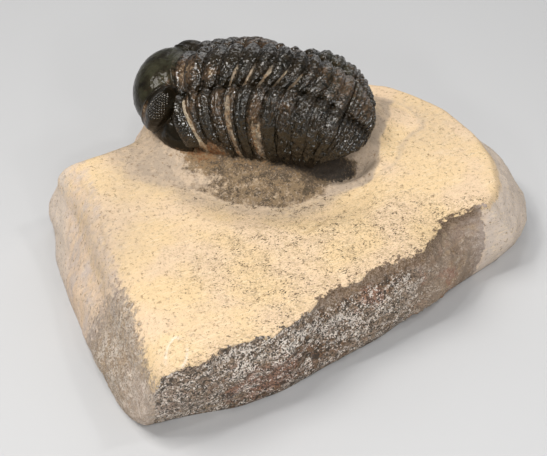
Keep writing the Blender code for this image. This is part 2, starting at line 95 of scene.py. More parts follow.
class Grain:
    """Seeded noise in space, worked out for whole arrays of points."""

    DIRECTIONS = 64

    @staticmethod
    def gradients() -> Array:
        """Spreads DIRECTIONS unit vectors over a sphere along a golden spiral."""
        index = np.arange(Grain.DIRECTIONS) + 0.5
        height = 1 - 2 * index / Grain.DIRECTIONS
        turn = math.pi * (1 + math.sqrt(5)) * index
        radius = np.sqrt(1 - height**2)
        return np.stack([radius * np.cos(turn), radius * np.sin(turn), height], -1)

    @staticmethod
    def hashed(cells: Array, seed: int) -> Array:
        """Mixes a lattice cell's three whole numbers and the seed into one repeatable number.

        Args:
            cells: Whole x, y and z of each cell.
            seed: Which of many unlike patterns is meant.

        Returns:
            A number from 0 to 65535 for each cell.
        """
        mixed = cells[..., 0] * 73856093 ^ cells[..., 1] * 19349663 ^ cells[..., 2] * 83492791 ^ seed * 40503
        mixed = ((mixed ^ (mixed >> 13)) * 1274126177) & 0xFFFFFFFF
        mixed = ((mixed ^ (mixed >> 15)) * 668265263) & 0xFFFFFFFF
        return (mixed ^ (mixed >> 16)) & 0xFFFF

    @staticmethod
    def smooth_noise(points: Array, seed: int) -> Array:
        """Gradient noise: each lattice corner's slope, blended by a fifth-order fade.

        Args:
            points: Points in an array of any shape, one lattice cell being 1 wide.
            seed: Which pattern.

        Returns:
            Values from about -1 to 1.
        """
        cells = np.floor(points).astype(np.int64)
        inside = points - cells
        fade = inside**3 * (inside * (inside * 6 - 15) + 10)
        slopes = Grain.gradients()
        total = np.zeros(points.shape[:-1])
        for corner in itertools.product((0, 1), repeat=3):
            slope = slopes[Grain.hashed(cells + corner, seed) % Grain.DIRECTIONS]
            weight = np.prod(np.where(corner, fade, 1 - fade), axis=-1)
            total += weight * np.sum((inside - corner) * slope, axis=-1)
        return 1.6 * total

    @staticmethod
    def fractal(points: Array, size: float, octaves: int, seed: int, ridged: bool = False) -> Array:
        """Adds octaves of noise, each half as wide and half as strong as the one before.

        Args:
            points: Points in millimetres, in an array of any shape.
            size: The width of the widest lumps, in millimetres.
            octaves: How many octaves are added.
            seed: Which pattern.
            ridged: Whether each octave is folded at zero, which gives sharp crests.

        Returns:
            Values from about -1 to 1.
        """
        total, weight, reach = np.zeros(points.shape[:-1]), 1.0, 0.0
        for octave in range(octaves):
            value = Grain.smooth_noise(points / (size * 0.5**octave) + 7.3 * octave, seed + octave)
            total += weight * (1 - 2 * np.abs(value) if ridged else value)
            reach += weight
            weight *= 0.5
        return total / reach

    @staticmethod
    def cells(points: Array, size: float, seed: int) -> tuple[Array, Array]:
        """Scatters one seed point in each lattice cell and measures to the nearest.

        Args:
            points: Points in millimetres, in an array of any shape.
            size: The lattice cell's width in millimetres.
            seed: Which pattern.

        Returns:
            The distance to the nearest seed point in cell widths, and that seed's own number from 0 to 1.
        """
        scaled = points / size
        home = np.floor(scaled).astype(np.int64)
        nearest, owner = np.full(points.shape[:-1], 9.0), np.zeros(points.shape[:-1])
        for step in itertools.product((-1, 0, 1), repeat=3):
            cell = home + step
            place = [Grain.hashed(cell, seed + axis) / 65536 for axis in range(3)]
            distance = np.linalg.norm(cell + np.stack(place, -1) - scaled, axis=-1)
            closer = distance < nearest
            nearest = np.where(closer, distance, nearest)
            owner = np.where(closer, Grain.hashed(cell, seed + 3) / 65536, owner)
        return nearest, owner


@dataclass
class Surface:
    """A closed surface as arrays: its points, its faces and what its finish reads at each point."""

    points: Array
    faces: list[Array]
    marks: dict[str, Array] = field(default_factory=dict)

    def normals(self) -> Array:
        """Adds up the area vectors of the faces round each point and makes the sums one long.

        Returns:
            An outward unit vector for each point.
        """
        total = np.zeros_like(self.points)
        for faces in self.faces:
            first = self.points[faces[:, 0]]
            for k in range(1, faces.shape[1] - 1):
                area = np.cross(self.points[faces[:, k]] - first, self.points[faces[:, k + 1]] - first)
                for corner in range(faces.shape[1]):
                    for axis in range(3):
                        total[:, axis] += np.bincount(faces[:, corner], area[:, axis], len(total))
        return total / np.maximum(np.linalg.norm(total, axis=1, keepdims=True), 1e-12)

    def relax(self, weight: Array, rounds: int) -> None:
        """Moves each point towards the mean of its neighbours, by its weight, a number of times.

        Args:
            weight: A share from 0 to 1 for each point.
            rounds: How many times it is done.
        """
        quads = self.faces[0]
        ends = np.concatenate([quads[:, [k, (k + 1) % 4]] for k in range(4)])
        start, end = np.concatenate([ends, ends[:, ::-1]]).T
        count = np.maximum(np.bincount(start, minlength=len(self.points)), 1)
        for _ in range(rounds):
            mean = [np.bincount(start, self.points[end, axis], len(self.points)) for axis in range(3)]
            self.points += weight[:, None] * (np.stack(mean, -1) / count[:, None] - self.points)

    def build(self, name: str, finish: Material, slot: Slot, replaces: tuple[str, ...] = ()) -> None:
        """Makes the object, gives it its finish and tells the frame what it stands for.

        Args:
            name: The piece's name.
            finish: Its material.
            slot: The record's material slot; not used.
            replaces: The solids that it stands for.
        """
        mesh = bpy.data.meshes.new(name)
        corners = np.concatenate([faces.ravel() for faces in self.faces])
        sizes = np.concatenate([np.full(len(faces), faces.shape[1]) for faces in self.faces])
        mesh.vertices.add(len(self.points))
        mesh.vertices.foreach_set("co", (self.points * MM).astype(np.float32).ravel())
        mesh.loops.add(len(corners))
        mesh.loops.foreach_set("vertex_index", corners.astype(np.int32))
        mesh.polygons.add(len(sizes))
        mesh.polygons.foreach_set("loop_start", (np.cumsum(sizes) - sizes).astype(np.int32))
        mesh.update(calc_edges=True)
        mesh.validate()
        mesh.shade_smooth()
        for mark, values in self.marks.items():
            attribute = mesh.attributes.new(mark, "FLOAT", "POINT")
            attribute.data.foreach_set("value", np.broadcast_to(values, len(self.points)).astype(np.float32))
        mesh.materials.append(finish)
        piece = bpy.data.objects.new(name, mesh)
        bpy.context.scene.collection.objects.link(piece)
        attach(piece, "root")
        if replaces:
            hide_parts(*replaces)
        LOG.info("%s: %d points, %d faces", name, len(self.points), len(sizes))


def grid_quads(rows: int, columns: int, wrap: bool = False) -> Array:
    """Numbers the quads of a grid of points stored row by row.

    Args:
        rows: Rows of points.
        columns: Points in a row.
        wrap: Whether each row closes on itself.

    Returns:
        Four point numbers for each quad.
    """
    row, column = np.meshgrid(np.arange(rows - 1), np.arange(columns if wrap else columns - 1), indexing="ij")
    here, right = row * columns + column, row * columns + (column + 1) % columns
    return np.stack([here, right, right + columns, here + columns], -1).reshape(-1, 4)


def closed_sweep(rings: Array) -> Surface:
    """Joins rings of points into a skin and closes both ends with a fan round the end ring's middle.

    Args:
        rings: An array of stations by points round the ring by 3. Seen from the first station towards the
            last, the points go round so that the skin faces outwards.

    Returns:
        The closed surface, the two end middles being its last points.
    """
    stations, around = rings.shape[:2]
    points = np.concatenate([rings.reshape(-1, 3), [rings[0].mean(axis=0)], [rings[-1].mean(axis=0)]])
    here = np.arange(around)
    after = (here + 1) % around
    first = np.stack([np.full(around, stations * around), after, here], -1)
    base = (stations - 1) * around
    last = np.stack([np.full(around, stations * around + 1), base + here, base + after], -1)
    return Surface(points, [grid_quads(stations, around, wrap=True), np.concatenate([first, last])])


def sweep_marks(floor_steps: int = 0, **values: Array) -> dict[str, Array]:
    """Carries values on a sweep's arch to all its points; its floor and its two end middles have none."""
    marks = {}
    for name, value in values.items():
        rings = np.concatenate([value, np.zeros((len(value), floor_steps))], axis=1)
        marks[name] = np.append(rings.ravel(), [0, 0])
    return marks


def over_and_under(steps: int) -> tuple[Array, Array]:
    """Shares of a plate from front to back, and back again underneath, and which of them are underneath."""
    shares = np.concatenate([np.linspace(0, 1, steps), [1.0, 0.5, 0.0]])
    return shares, np.arange(len(shares)) >= steps


@dataclass(frozen=True)
class BodyForm:
    """The smooth form of the arched body, from the joint of head and thorax to the tip of the tail."""

    bed_height: float = 26.5
    place: tuple[float, float] = (-2.0, 33.3)
    yaw: float = -15.0
    roll: float = 9.0
    segments: int = 11
    first_segment: float = 3.45
    last_segment: float = 3.95
    tail_length: float = 11.8
    head_joint_x: float = -17.4
    crest_height: float = 17.7
    pitch_at_head: float = -22.0
    pitch_at_tail: float = 44.0
    pitch_at_tip: float = 86.0
    pitch_growth: float = 1.7
    border_length: float = 3.2
    margin_start_x: float = -10.6
    margin_run: float = 26.2
    margin_bunching: float = 42.0
    tail_margin_swing: float = 1.6
    tail_margin_lift: float = 5.0
    gap: float = 0.3
    half_width: float = 15.6
    half_width_tail: float = 13.4
    width_taper: float = 1.8
    axis_width: float = 6.8
    axis_width_tail: float = 5.0
    axis_width_tip: float = 2.0
    axis_limit: float = 0.45
    axis_rise: float = 3.4
    axis_rise_tail: float = 2.4
    axis_share: float = 0.36
    axis_turn: float = 75.0
    furrow_turn: float = 22.0
    ring_bow: float = 3.8
    far_sink: float = 3.8
    far_sink_middle: float = 23.0
    far_sink_spread: float = 6.0
    far_sink_run: float = 0.25
    near_lean: float = 3.0
    near_lean_middle: float = 20.0
    near_lean_spread: float = 9.0
    stripe_lean: float = 1.5
    stripe_lean_spread: float = 2.5

    @property
    def thorax_length(self) -> float:
        """The length of the thorax along the back."""
        return self.segments * (self.first_segment + self.last_segment) / 2

    @property
    def back_end(self) -> float:
        """The distance of the tail's tip."""
        return self.thorax_length + self.tail_length

    def joints(self) -> Array:
        """The distances where the segments start, and where the last one ends."""
        lengths = np.linspace(self.first_segment, self.last_segment, self.segments)
        return np.concatenate([[0.0], np.cumsum(lengths)])

    def tail_share(self, along: Array) -> Array:
        """0 on the thorax, growing to 1 at the tip of the tail."""
        return np.clip((along - self.thorax_length) / self.tail_length, 0, 1)

    def back_point(self, along: Array) -> tuple[Array, Array]:
        """The back line's x and z, added up from its pitch, which grows with a power of the distance.

        Args:
            along: Distances along the back.

        Returns:
            x and z for each distance.
        """
        table = np.linspace(-2 * self.border_length, self.back_end, 1200)
        share = np.clip(table / self.thorax_length, 0, 1) ** self.pitch_growth
        pitch = self.pitch_at_head + (self.pitch_at_tail - self.pitch_at_head) * share
        pitch += (self.pitch_at_tip - self.pitch_at_tail) * self.tail_share(table)
        slope = np.radians((pitch[1:] + pitch[:-1]) / 2)
        step = table[1] - table[0]
        x = np.concatenate([[0], np.cumsum(step * np.cos(slope))])
        z = np.concatenate([[0], np.cumsum(-step * np.sin(slope))])
        x += self.head_joint_x - np.interp(0, table, x)
        z += self.crest_height - z.max()
        return np.interp(along, table, x), np.interp(along, table, z)

    def margin_point(self, along: Array) -> tuple[Array, Array]:
        """The margin's x and z: x bunches up by an exponential on the thorax, then swings to the tail's tip.

        Args:
            along: Distances along the back.

        Returns:
            x and z for each distance.
        """
        full = 1 - math.exp(-self.thorax_length / self.margin_bunching)
        reach = (1 - np.exp(-along / self.margin_bunching)) / full
        thorax_x = self.margin_start_x + self.margin_run * np.minimum(reach, 1)
        end_x, end_z = self.back_point(self.back_end)
        share = self.tail_share(along)
        x = thorax_x + (end_x - thorax_x) * share**self.tail_margin_swing
        z = self.gap + (end_z - self.gap) * share**self.tail_margin_lift
        return x, z

    def widths(self, along: Array) -> tuple[Array, Array, Array]:
        """Half width of the body, half width and rise of its axial lobe; the tail closes as a circle does.

        Args:
            along: Distances along the back.

        Returns:
            Body half width, axis half width and axis rise.
        """
        share = np.clip(along / self.thorax_length, 0, 1)
        into_tail = self.tail_share(along)
        close = np.sqrt(np.clip(1 - into_tail**2, 0, 1))
        half = (self.half_width + (self.half_width_tail - self.half_width) * share**self.width_taper) * close
        axis = self.axis_width + (self.axis_width_tail - self.axis_width) * share
        axis = axis + (self.axis_width_tip - self.axis_width_tail) * into_tail
        rise = (self.axis_rise + (self.axis_rise_tail - self.axis_rise) * share) * close
        return half, np.minimum(axis, self.axis_limit * half), rise

    def lean(self, along: Array, across: Array) -> Array:
        """How far a rib's near end lies behind its ring: bells along the body, growing towards the margin."""
        forward = self.near_lean * bell((along - self.near_lean_middle) / self.near_lean_spread)
        backward = self.stripe_lean * bell(along / self.stripe_lean_spread)
        return (backward - forward) * smooth((-across - 0.42) / 0.5)

    def sink(self, along: Array, across: Array) -> Array:
        """How far the far side lobe was pressed down: a bell along the body, with smooth steps across it."""
        sunk = self.far_sink * bell((along - self.far_sink_middle) / self.far_sink_spread)
        inner = smooth((across - self.axis_share) / self.far_sink_run)
        return sunk * inner * smooth((1 - across) / self.far_sink_run)

    def surface(self, along: Array, across: Array) -> Array:
        """The smooth back: a section leans from the back line to the margin and is an arch of two lobes.

        The axial lobe follows a cosine out to axis_turn, and the side lobe one from -furrow_turn to a right
        angle. The rings bow backwards at the midline by a parabola.

        Args:
            along: Distances along the back.
            across: Shares of the way from the midline to the margins.

        Returns:
            Points in the body's own frame.
        """
        side = np.abs(across)
        bow = self.ring_bow * np.sin(math.pi * np.clip(along / self.thorax_length, 0, 1))
        along = along + bow * np.clip(1 - (side / self.axis_share) ** 2, 0, 1) + self.lean(along, across)
        half, axis, rise = self.widths(along)
        top_x, top_z = self.back_point(along)
        foot_x, foot_z = self.margin_point(along)
        depth = np.hypot(top_x - foot_x, top_z - foot_z)
        turn, dip = math.radians(self.axis_turn), math.radians(self.furrow_turn)
        lobe = turn * np.minimum(side / self.axis_share, 1)
        outer = -dip + (math.pi / 2 + dip) * np.clip((side - self.axis_share) / (1 - self.axis_share), 0, 1)
        furrow = rise + (depth - rise) * (1 - math.cos(dip))
        on_axis = furrow * (1 - np.cos(lobe)) / (1 - math.cos(turn))
        on_side = rise + (depth - rise) * (1 - np.cos(outer))
        share = np.where(side < self.axis_share, on_axis, on_side) / np.maximum(depth, 1e-6)
        reach = (np.sin(outer) + math.sin(dip)) / (1 + math.sin(dip))
        y = np.sign(across) * (axis * np.sin(lobe) / math.sin(turn) + (half - axis) * reach)
        z = top_z + (foot_z - top_z) * share - self.sink(along, across)
        return np.stack([top_x + (foot_x - top_x) * share, y, z], -1)

    def outward(self, along: Array, across: Array) -> Array:
        """The smooth back's outward unit vector, from small steps both ways."""
        step = 0.05
        across = np.clip(across, -0.985, 0.985)
        down_body = self.surface(along + step, across) - self.surface(along - step, across)
        over_body = self.surface(along, across + step / 5) - self.surface(along, across - step / 5)
        normal = np.cross(down_body, over_body)
        return normal / np.maximum(np.linalg.norm(normal, axis=-1, keepdims=True), 1e-9)

    def spacing(self, along: Array, across: Array) -> Array:
        """How many millimetres of surface one millimetre of back line makes."""
        step = 0.1
        span = self.surface(along + step, across) - self.surface(along - step, across)
        return np.linalg.norm(span, axis=-1) / (2 * step)

    def raised(self, along: Array, across: Array, height: Array) -> Array:
        """Points at a height above the smooth back."""
        return self.surface(along, across) + self.outward(along, across) * height[..., None]

    def to_world(self, points: Array) -> Array:
        """Rolls and turns points of the body's frame onto the bed, in the object's frame."""
        yaw, roll = math.radians(self.yaw), math.radians(self.roll)
        x, y, z = points[..., 0], points[..., 1], points[..., 2]
        y, z = y * math.cos(roll) - z * math.sin(roll), y * math.sin(roll) + z * math.cos(roll)
        x, y = x * math.cos(yaw) - y * math.sin(yaw), x * math.sin(yaw) + y * math.cos(yaw)
        x = x + self.place[0] - FOOTPRINT_MIDDLE[0]
        y = y + self.place[1] - FOOTPRINT_MIDDLE[1]
        return np.stack([x, y, z + self.bed_height], -1)

    def to_bed(self, x: Array, y: Array) -> tuple[Array, Array]:
        """The slab's x and y as the body's own x and y, on the tilted bed."""
        yaw = math.radians(self.yaw)
        x, y = x - self.place[0], y - self.place[1]
        across = (-x * math.sin(yaw) + y * math.cos(yaw)) / math.cos(math.radians(self.roll))
        return x * math.cos(yaw) + y * math.sin(yaw), across


BODY = BodyForm()


@dataclass(frozen=True)
class Wear:
    """Where the shield is weathered: broken through to the rock, or only browned."""

    opened: tuple[WornPlace, ...] = (
        (12.2, -0.76, 0.8, 0.22, 0.95),
        (11.8, -0.97, 1.0, 0.05, 0.8),
        (20.4, -0.86, 1.3, 0.13, 0.8),
        (3.4, -0.99, 3.4, 0.07, 1.0),
    )
    browned: tuple[WornPlace, ...] = (
        (0.2, -0.12, 2.2, 0.17, 0.95),
        (1.0, -0.72, 0.7, 0.30, 0.85),
        (5.6, -0.19, 1.5, 0.06, 0.8),
        (3.0, -0.55, 2.2, 0.16, 0.55),
        (9.6, -0.62, 1.6, 0.16, 0.6),
        (12.6, -0.62, 1.5, 0.20, 0.6),
        (20.0, -0.72, 1.7, 0.22, 0.7),
        (13.0, 0.36, 8.0, 0.13, 0.75),
        (15.0, 0.60, 8.5, 0.22, 0.55),
        (26.0, -0.60, 2.6, 0.10, 0.45),
        (30.0, -0.02, 3.0, 0.18, 0.45),
        (37.0, 0.02, 5.0, 0.30, 0.7),
        (45.0, 0.10, 4.5, 0.40, 0.7),
        (42.0, 0.60, 5.0, 0.30, 0.5),
        (25.0, 0.30, 5.0, 0.16, 0.5),
    )

    @staticmethod
    def strongest(places: tuple[WornPlace, ...], along: Array, across: Array) -> Array:
        """The strongest of the bells round the places."""
        total = np.zeros(along.shape)
        for centre, side, half_length, half_width, strength in places:
            offset = np.hypot((along - centre) / half_length, (across - side) / half_width)
            total = np.maximum(total, strength * bell(offset * 0.85))
        return total

    def open_at(self, along: Array, across: Array, points: Array) -> Array:
        """How far the shield is broken through to the rock, its edges broken up by noise.

        Args:
            along: Distances along the back.
            across: Shares across the body.
            points: The same places in space, for the noise.

        Returns:
            Values from 0, whole, to 1, broken through.
        """
        ragged = Grain.fractal(points, 1.5, 3, 41)
        return np.clip(self.strongest(self.opened, along, across) * (1 + 0.9 * ragged), 0, 1)

    def brown_at(self, along: Array, across: Array) -> Array:
        """How far the shield has weathered brown, from 0 to 1."""
        return self.strongest(self.browned + self.opened, along, across)

    @staticmethod
    def far_smooth(along: Array, across: Array) -> Array:
        """Where the far side lobe was ground smooth: a bell along the body beyond the far furrow."""
        return bell((along - 14) / 8.5) * smooth((across - 0.40) / 0.10)


WEAR = Wear()


class NodeGraph:
    """A material's node tree, with short calls for the nodes that the finishes use."""

    def __init__(self, name: str) -> None:
        """Starts a material with one principled shader, and object coordinates in millimetres.

        Args:
            name: The material's name.
        """
        self.material = bpy.data.materials.new(name)
        self.material.use_nodes = True
        self.nodes = self.material.node_tree.nodes
        self.links = self.material.node_tree.links
        self.shader = self.nodes["Principled BSDF"]
        self.place = self.scaled(self.node("TexCoord", {}).outputs["Object"], (1 / MM,) * 3)

    def put(self, socket: Socket, value: object) -> None:
        """Links a socket to an input, or sets the input to a plain value."""
        if isinstance(value, Socket):
            self.links.new(value, socket)
        else:
            socket.default_value = value

    def node(self, kind: str, inputs: dict, **settings: object) -> bpy.types.Node:
        """Adds a node, first with its settings and then with its inputs, each a socket or a plain value."""
        node = self.nodes.new(f"ShaderNode{kind}")
        for name, value in settings.items():
            setattr(node, name, value)
        for key, value in inputs.items():
            self.put(node.inputs[key], value)
        return node

    def scaled(self, vector: Socket, scale: tuple) -> Socket:
        """Stretches a vector by a scale along each axis."""
        return self.node("Mapping", {"Vector": vector, "Scale": scale}).outputs["Vector"]

    def stretched(self, turn: float, stretch: tuple) -> Socket:
        """Places on which a pattern is stretched along axes turned by an angle in degrees round z."""
        inputs = {"Vector": self.place, "Rotation": (0, 0, math.radians(turn)), "Scale": stretch}
        return self.node("Mapping", inputs, vector_type="TEXTURE").outputs["Vector"]

    def noise(self, size: float, detail: float = 3, roughness: float = 0.5, place: Socket = None) -> Socket:
        """Noise whose lumps are about size millimetres wide, from 0 to 1."""
        inputs = {"Vector": place or self.place, "Scale": 1 / size, "Detail": detail, "Roughness": roughness}
        return self.node("TexNoise", inputs).outputs["Fac"]

    def clouds(self, pattern: tuple, low: float, high: float, to: tuple = (0.0, 1.0)) -> Socket:
        """Noise with a range of its values carried to another; the pattern is what noise() takes."""
        return self.step(self.noise(*pattern), low, high, to)

    def ragged(self, name: str, pattern: tuple, reach: tuple, low: float = 0.25) -> Socket:
        """A stored value made ragged by noise, which from low to 1 - low adds between the reach's ends."""
        return self.plus(self.mark(name), self.clouds(pattern, low, 1 - low, reach))

    def crystals(self, size: float) -> Socket:
        """Scattered cells about size millimetres wide, each with its own value."""
        return self.node("TexVoronoi", {"Vector": self.place, "Scale": 1 / size}).outputs["Color"]

    def mark(self, name: str) -> Socket:
        """A value stored at the surface's points."""
        return self.node("Attribute", {}, attribute_name=name).outputs["Fac"]

    def sum(self, operation: str, first: object, second: object, clamp: bool = False) -> Socket:
        """One step of arithmetic."""
        return self.node("Math", {0: first, 1: second}, operation=operation, use_clamp=clamp).outputs[0]

    def times(self, *values: object) -> Socket:
        """The product of values."""
        product = values[0]
        for value in values[1:]:
            product = self.sum("MULTIPLY", product, value)
        return product

    def plus(self, *values: object) -> Socket:
        """The sum of values."""
        total = values[0]
        for value in values[1:]:
            total = self.sum("ADD", total, value)
        return total

    def step(self, value: object, low: float, high: float, to: tuple = (0.0, 1.0)) -> Socket:
        """Carries a range of values to another one, smoothly and clamped."""
        inputs = {"Value": value, "From Min": low, "From Max": high, "To Min": to[0], "To Max": to[1]}
        return self.node("MapRange", inputs, interpolation_type="SMOOTHSTEP").outputs["Result"]

    def blend(self, share: object, first: object, second: object) -> Socket:
        """Mixes two colours by a share."""
        inputs = {0: share}
        for key, colour in ((6, first), (7, second)):
            inputs[key] = colour if isinstance(colour, Socket) else (*colour, 1.0)
        return self.node("Mix", inputs, data_type="RGBA").outputs[2]

    def over(
        self, colour: object, other: object, value: Socket, low: float, high: float, most: float,
    ) -> Socket:
        """Lays another colour over one, by a share that grows to most as a value passes from low to high."""
        return self.blend(self.step(value, low, high, (0.0, most)), colour, other)

    def bump(self, height: Socket, depth: float, under: Socket = None) -> Socket:
        """Bends the shading normal by a height of at most depth millimetres, on top of another bump."""
        inputs = {"Distance": depth * MM, "Height": height}
        return self.node("Bump", {**inputs, "Normal": under} if under else inputs).outputs["Normal"]

    def finished(self, inputs: dict[str, object]) -> Material:
        """Sets or links the shader's inputs and gives back the material."""
        for name, value in inputs.items():
            self.put(self.shader.inputs[name], value)
        return self.material


@dataclass(frozen=True)
class FossilShellFinish:
    """Glossy black calcite under a broken brown film, with tan rock left in hollows and weathered places."""

    black: Colour = (0.0055, 0.0045, 0.0024)
    brown_black: Colour = (0.014, 0.0088, 0.0040)
    film: Colour = (0.042, 0.028, 0.0135)
    # Olive tint, which on the head paints a soft sheen.
    olive: Colour = (0.045, 0.045, 0.027)
    brown: Colour = (0.078, 0.045, 0.023)
    tan: Colour = (0.36, 0.265, 0.165)
    roughness: tuple[float, float] = (0.14, 0.38)
    specular: float = 0.14
    specular_tint: Colour = (1.0, 0.84, 0.62)
    coat: float = 0.85
    coat_roughness: float = 0.06
    ripple: float = 0.27

    def material(self, name: str) -> Material:
        """Builds the finish: clouds of noise over the points' own marks, and smooth bumps for its glints.

        Args:
            name: The material's name.

        Returns:
            The material.
        """
        graph = NodeGraph(name)
        mottle = graph.mark("mottle")
        browner = graph.times(graph.clouds((3.2, 4, 0.6), 0.38, 0.64), graph.step(mottle, -0.4, 1.0))
        colour = graph.blend(browner, self.black, self.brown_black)
        film = graph.clouds((1.5, 5, 0.7), 0.50, 0.66, (0.0, 0.50))
        colour = graph.blend(graph.times(film, mottle), colour, self.film)
        # Olive tint; over the glabella's top it paints a soft sheen.
        bloom = graph.times(graph.mark("bloom"), graph.clouds((2.8, 4, 0.6), 0.3, 0.66))
        colour = graph.blend(bloom, colour, self.olive)
        worn = graph.ragged("worn", (0.9, 5, 0.7), (-0.5, 0.5), 0.2)
        colour = graph.over(colour, self.brown, worn, 0.2, 0.8, 0.9)
        colour = graph.over(colour, self.tan, worn, 0.75, 1.15, 0.65)
        residue = graph.ragged("cavity", (0.7, 4, 0.7), (-0.45, 0.45), 0.2)
        colour = graph.over(colour, self.film, residue, 0.50, 0.95, 0.40)
        flecks = graph.clouds((0.45, 4, 0.7), 0.62, 0.72, (0.0, 0.5))
        colour = graph.blend(graph.times(flecks, mottle), colour, self.tan)
        gloss = graph.clouds((1.1, 4, 0.6), 0.3, 0.7, self.roughness)
        dull = graph.times(graph.step(worn, 0.2, 0.9), 0.25)
        glassy = graph.bump(graph.times(graph.noise(0.9, 1, 0.4), graph.step(mottle, -0.5, 0.6)), self.ripple)
        return graph.finished({
            "Base Color": colour,
            "Roughness": graph.sum("ADD", gloss, dull, clamp=True),
            "Specular IOR Level": self.specular,
            "Specular Tint": (*self.specular_tint, 1),
            "Coat Weight": self.coat,
            "Coat Roughness": self.coat_roughness,
            "Normal": graph.bump(graph.times(graph.noise(0.5, 4, 0.6), mottle), 0.20, glassy),
            "Coat Normal": glassy,
        })


@dataclass(frozen=True)
class LimestoneFinish:
    """Cream limestone: scratched and speckled where it was dressed, salt and pepper grains where it broke."""

    cream: Colour = (0.745, 0.545, 0.310)
    peach: Colour = (0.73, 0.54, 0.355)
    light_streak: Colour = (0.82, 0.66, 0.44)
    olive: Colour = (0.43, 0.31, 0.165)
    speck: Colour = (0.075, 0.060, 0.034)
    bevel: Colour = (0.66, 0.49, 0.35)
    lilac: Colour = (0.54, 0.45, 0.40)
    ashen: Colour = (0.60, 0.52, 0.455)
    # The grey skirt, which also paints shade below the head and on the scoop's wall.
    skirt: Colour = (0.52, 0.40, 0.285)
    grey_streak: Colour = (0.40, 0.315, 0.235)
    # The scoop's brown grains, darkened as painted shade near and under the animal.
    scoop: Colour = (0.185, 0.125, 0.066)
    scoop_dark: Colour = (0.066, 0.043, 0.024)
    rust: Colour = (0.17, 0.073, 0.028)
    earth: Colour = (0.23, 0.145, 0.072)
    rim: Colour = (0.125, 0.075, 0.037)
    broken_grey: Colour = (0.345, 0.255, 0.182)
    broken_brown: Colour = (0.21, 0.122, 0.068)
    broken_red: Colour = (0.37, 0.20, 0.135)
    salt: Colour = (0.84, 0.76, 0.67)
    pepper: Colour = (0.040, 0.034, 0.028)
    # Dark glossy film: the joints' own film, and on the slab the painted shadow under the tail.
    film: Colour = (0.026, 0.018, 0.011)
    tanned: Colour = (0.47, 0.335, 0.205)
    roughness: float = 0.85
    film_gloss: float = 0.42
    grain_size: float = 0.27
    brush_turn: float = 30.0
    layer_turn: float = 35.0
    slab_marks: ClassVar[tuple[str, ...]] = (
        "pale", "brown", "browned", "side", "crystal", "ashen", "tanned", "reddish", "salted", "cut",
        "bruise",
    )

    def marks(self, graph: NodeGraph) -> tuple[Socket, Socket]:
        """The fine marks of the dressed face: soft olive ones everywhere, and dark specks in clusters."""
        dashes = graph.stretched(self.brush_turn, (1.7, 1.0, 1.0))
        density = graph.step(graph.mark("speckle"), 0.0, 1.0, (-0.085, 0.035))
        clouds = graph.clouds((3.0, 4, 0.65), 0.32, 0.68, (-0.06, 0.05))
        fine = graph.plus(graph.noise(0.36, 3, 0.8, dashes), clouds, density)
        clusters = graph.clouds((2.0, 4, 0.72), 0.38, 0.66, (-0.10, 0.06))
        dark = graph.plus(graph.noise(0.27, 2, 0.75, dashes), clusters, density)
        return graph.step(fine, 0.50, 0.63, (0.0, 0.55)), graph.step(dark, 0.625, 0.665, (0.0, 0.9))

    def dressed(self, graph: NodeGraph) -> tuple[Socket, Socket]:
        """The dressed face: cream and peach clouds, brushed streaks, the scoop's grains darkened as painted
        shade, and dark specks.

        Args:
            graph: The material's nodes.

        Returns:
            The colour, and where the specks are.
        """
        colour = graph.blend(graph.clouds((12, 3), 0.38, 0.62), self.cream, self.peach)
        tall = graph.scaled(graph.place, (1.0, 1.0, 0.16))
        side = graph.blend(graph.clouds((2.6, 4, 0.6, tall), 0.36, 0.66), self.bevel, self.lilac)
        side = graph.blend(graph.times(graph.mark("ashen"), 0.85), side, self.ashen)
        beside = graph.ragged("side", (2.2, 4, 0.65), (-0.3, 0.3))
        colour = graph.over(colour, side, beside, 0.2, 0.9, 0.9)
        brushed = graph.stretched(self.brush_turn, (7.0, 1.0, 1.0))
        streaks = graph.clouds((0.42, 4, 0.65, brushed), 0.50, 0.68, (0.0, 0.55))
        colour = graph.blend(streaks, colour, self.light_streak)
        olive, specks = self.marks(graph)
        olive = graph.sum("MAXIMUM", olive, graph.times(graph.mark("cut"), 0.55))
        colour = graph.blend(olive, colour, self.olive)
        bruise = graph.times(graph.mark("bruise"), graph.clouds((0.5, 3, 0.7), 0.36, 0.56, (0.15, 0.7)))
        colour = graph.blend(bruise, colour, self.salt)
        ragged = graph.clouds((1.5, 5, 0.7), 0.2, 0.8, (-0.32, 0.32))
        # The grey skirt, partly painted shade below the head and on the scoop's wall behind the tail.
        skirt = graph.mark("skirt")
        grey = graph.plus(graph.noise(1.5, 4, 0.6, tall), graph.step(skirt, 1.0, 1.4, (0.0, 0.14)))
        greyer = graph.blend(graph.step(grey, 0.42, 0.64, (0.0, 0.85)), self.skirt, self.grey_streak)
        skirt = graph.plus(skirt, graph.times(ragged, skirt))
        colour = graph.over(colour, greyer, skirt, 0.0, 1.0, 1.0)
        # Painted shade in the scoop: darker grains where it is deepest, near and under the animal.
        shade = graph.plus(graph.mark("shade"), ragged)
        clouds = graph.plus(graph.noise(2.0, 3, 0.6), graph.step(graph.mark("shade"), 0.9, 1.4, (0.0, 0.4)))
        gloomy = graph.plus(graph.noise(0.42, 3, 0.8), graph.step(clouds, 0.3, 0.7, (-0.12, 0.12)))
        grains = graph.blend(graph.step(gloomy, 0.46, 0.58), self.scoop, self.scoop_dark)
        grains = graph.blend(graph.clouds((0.55, 3, 0.75), 0.56, 0.66, (0.0, 0.75)), grains, self.skirt)
        colour = graph.over(colour, grains, shade, 0.30, 0.72, 0.92)
        return graph.blend(specks, colour, self.speck), specks

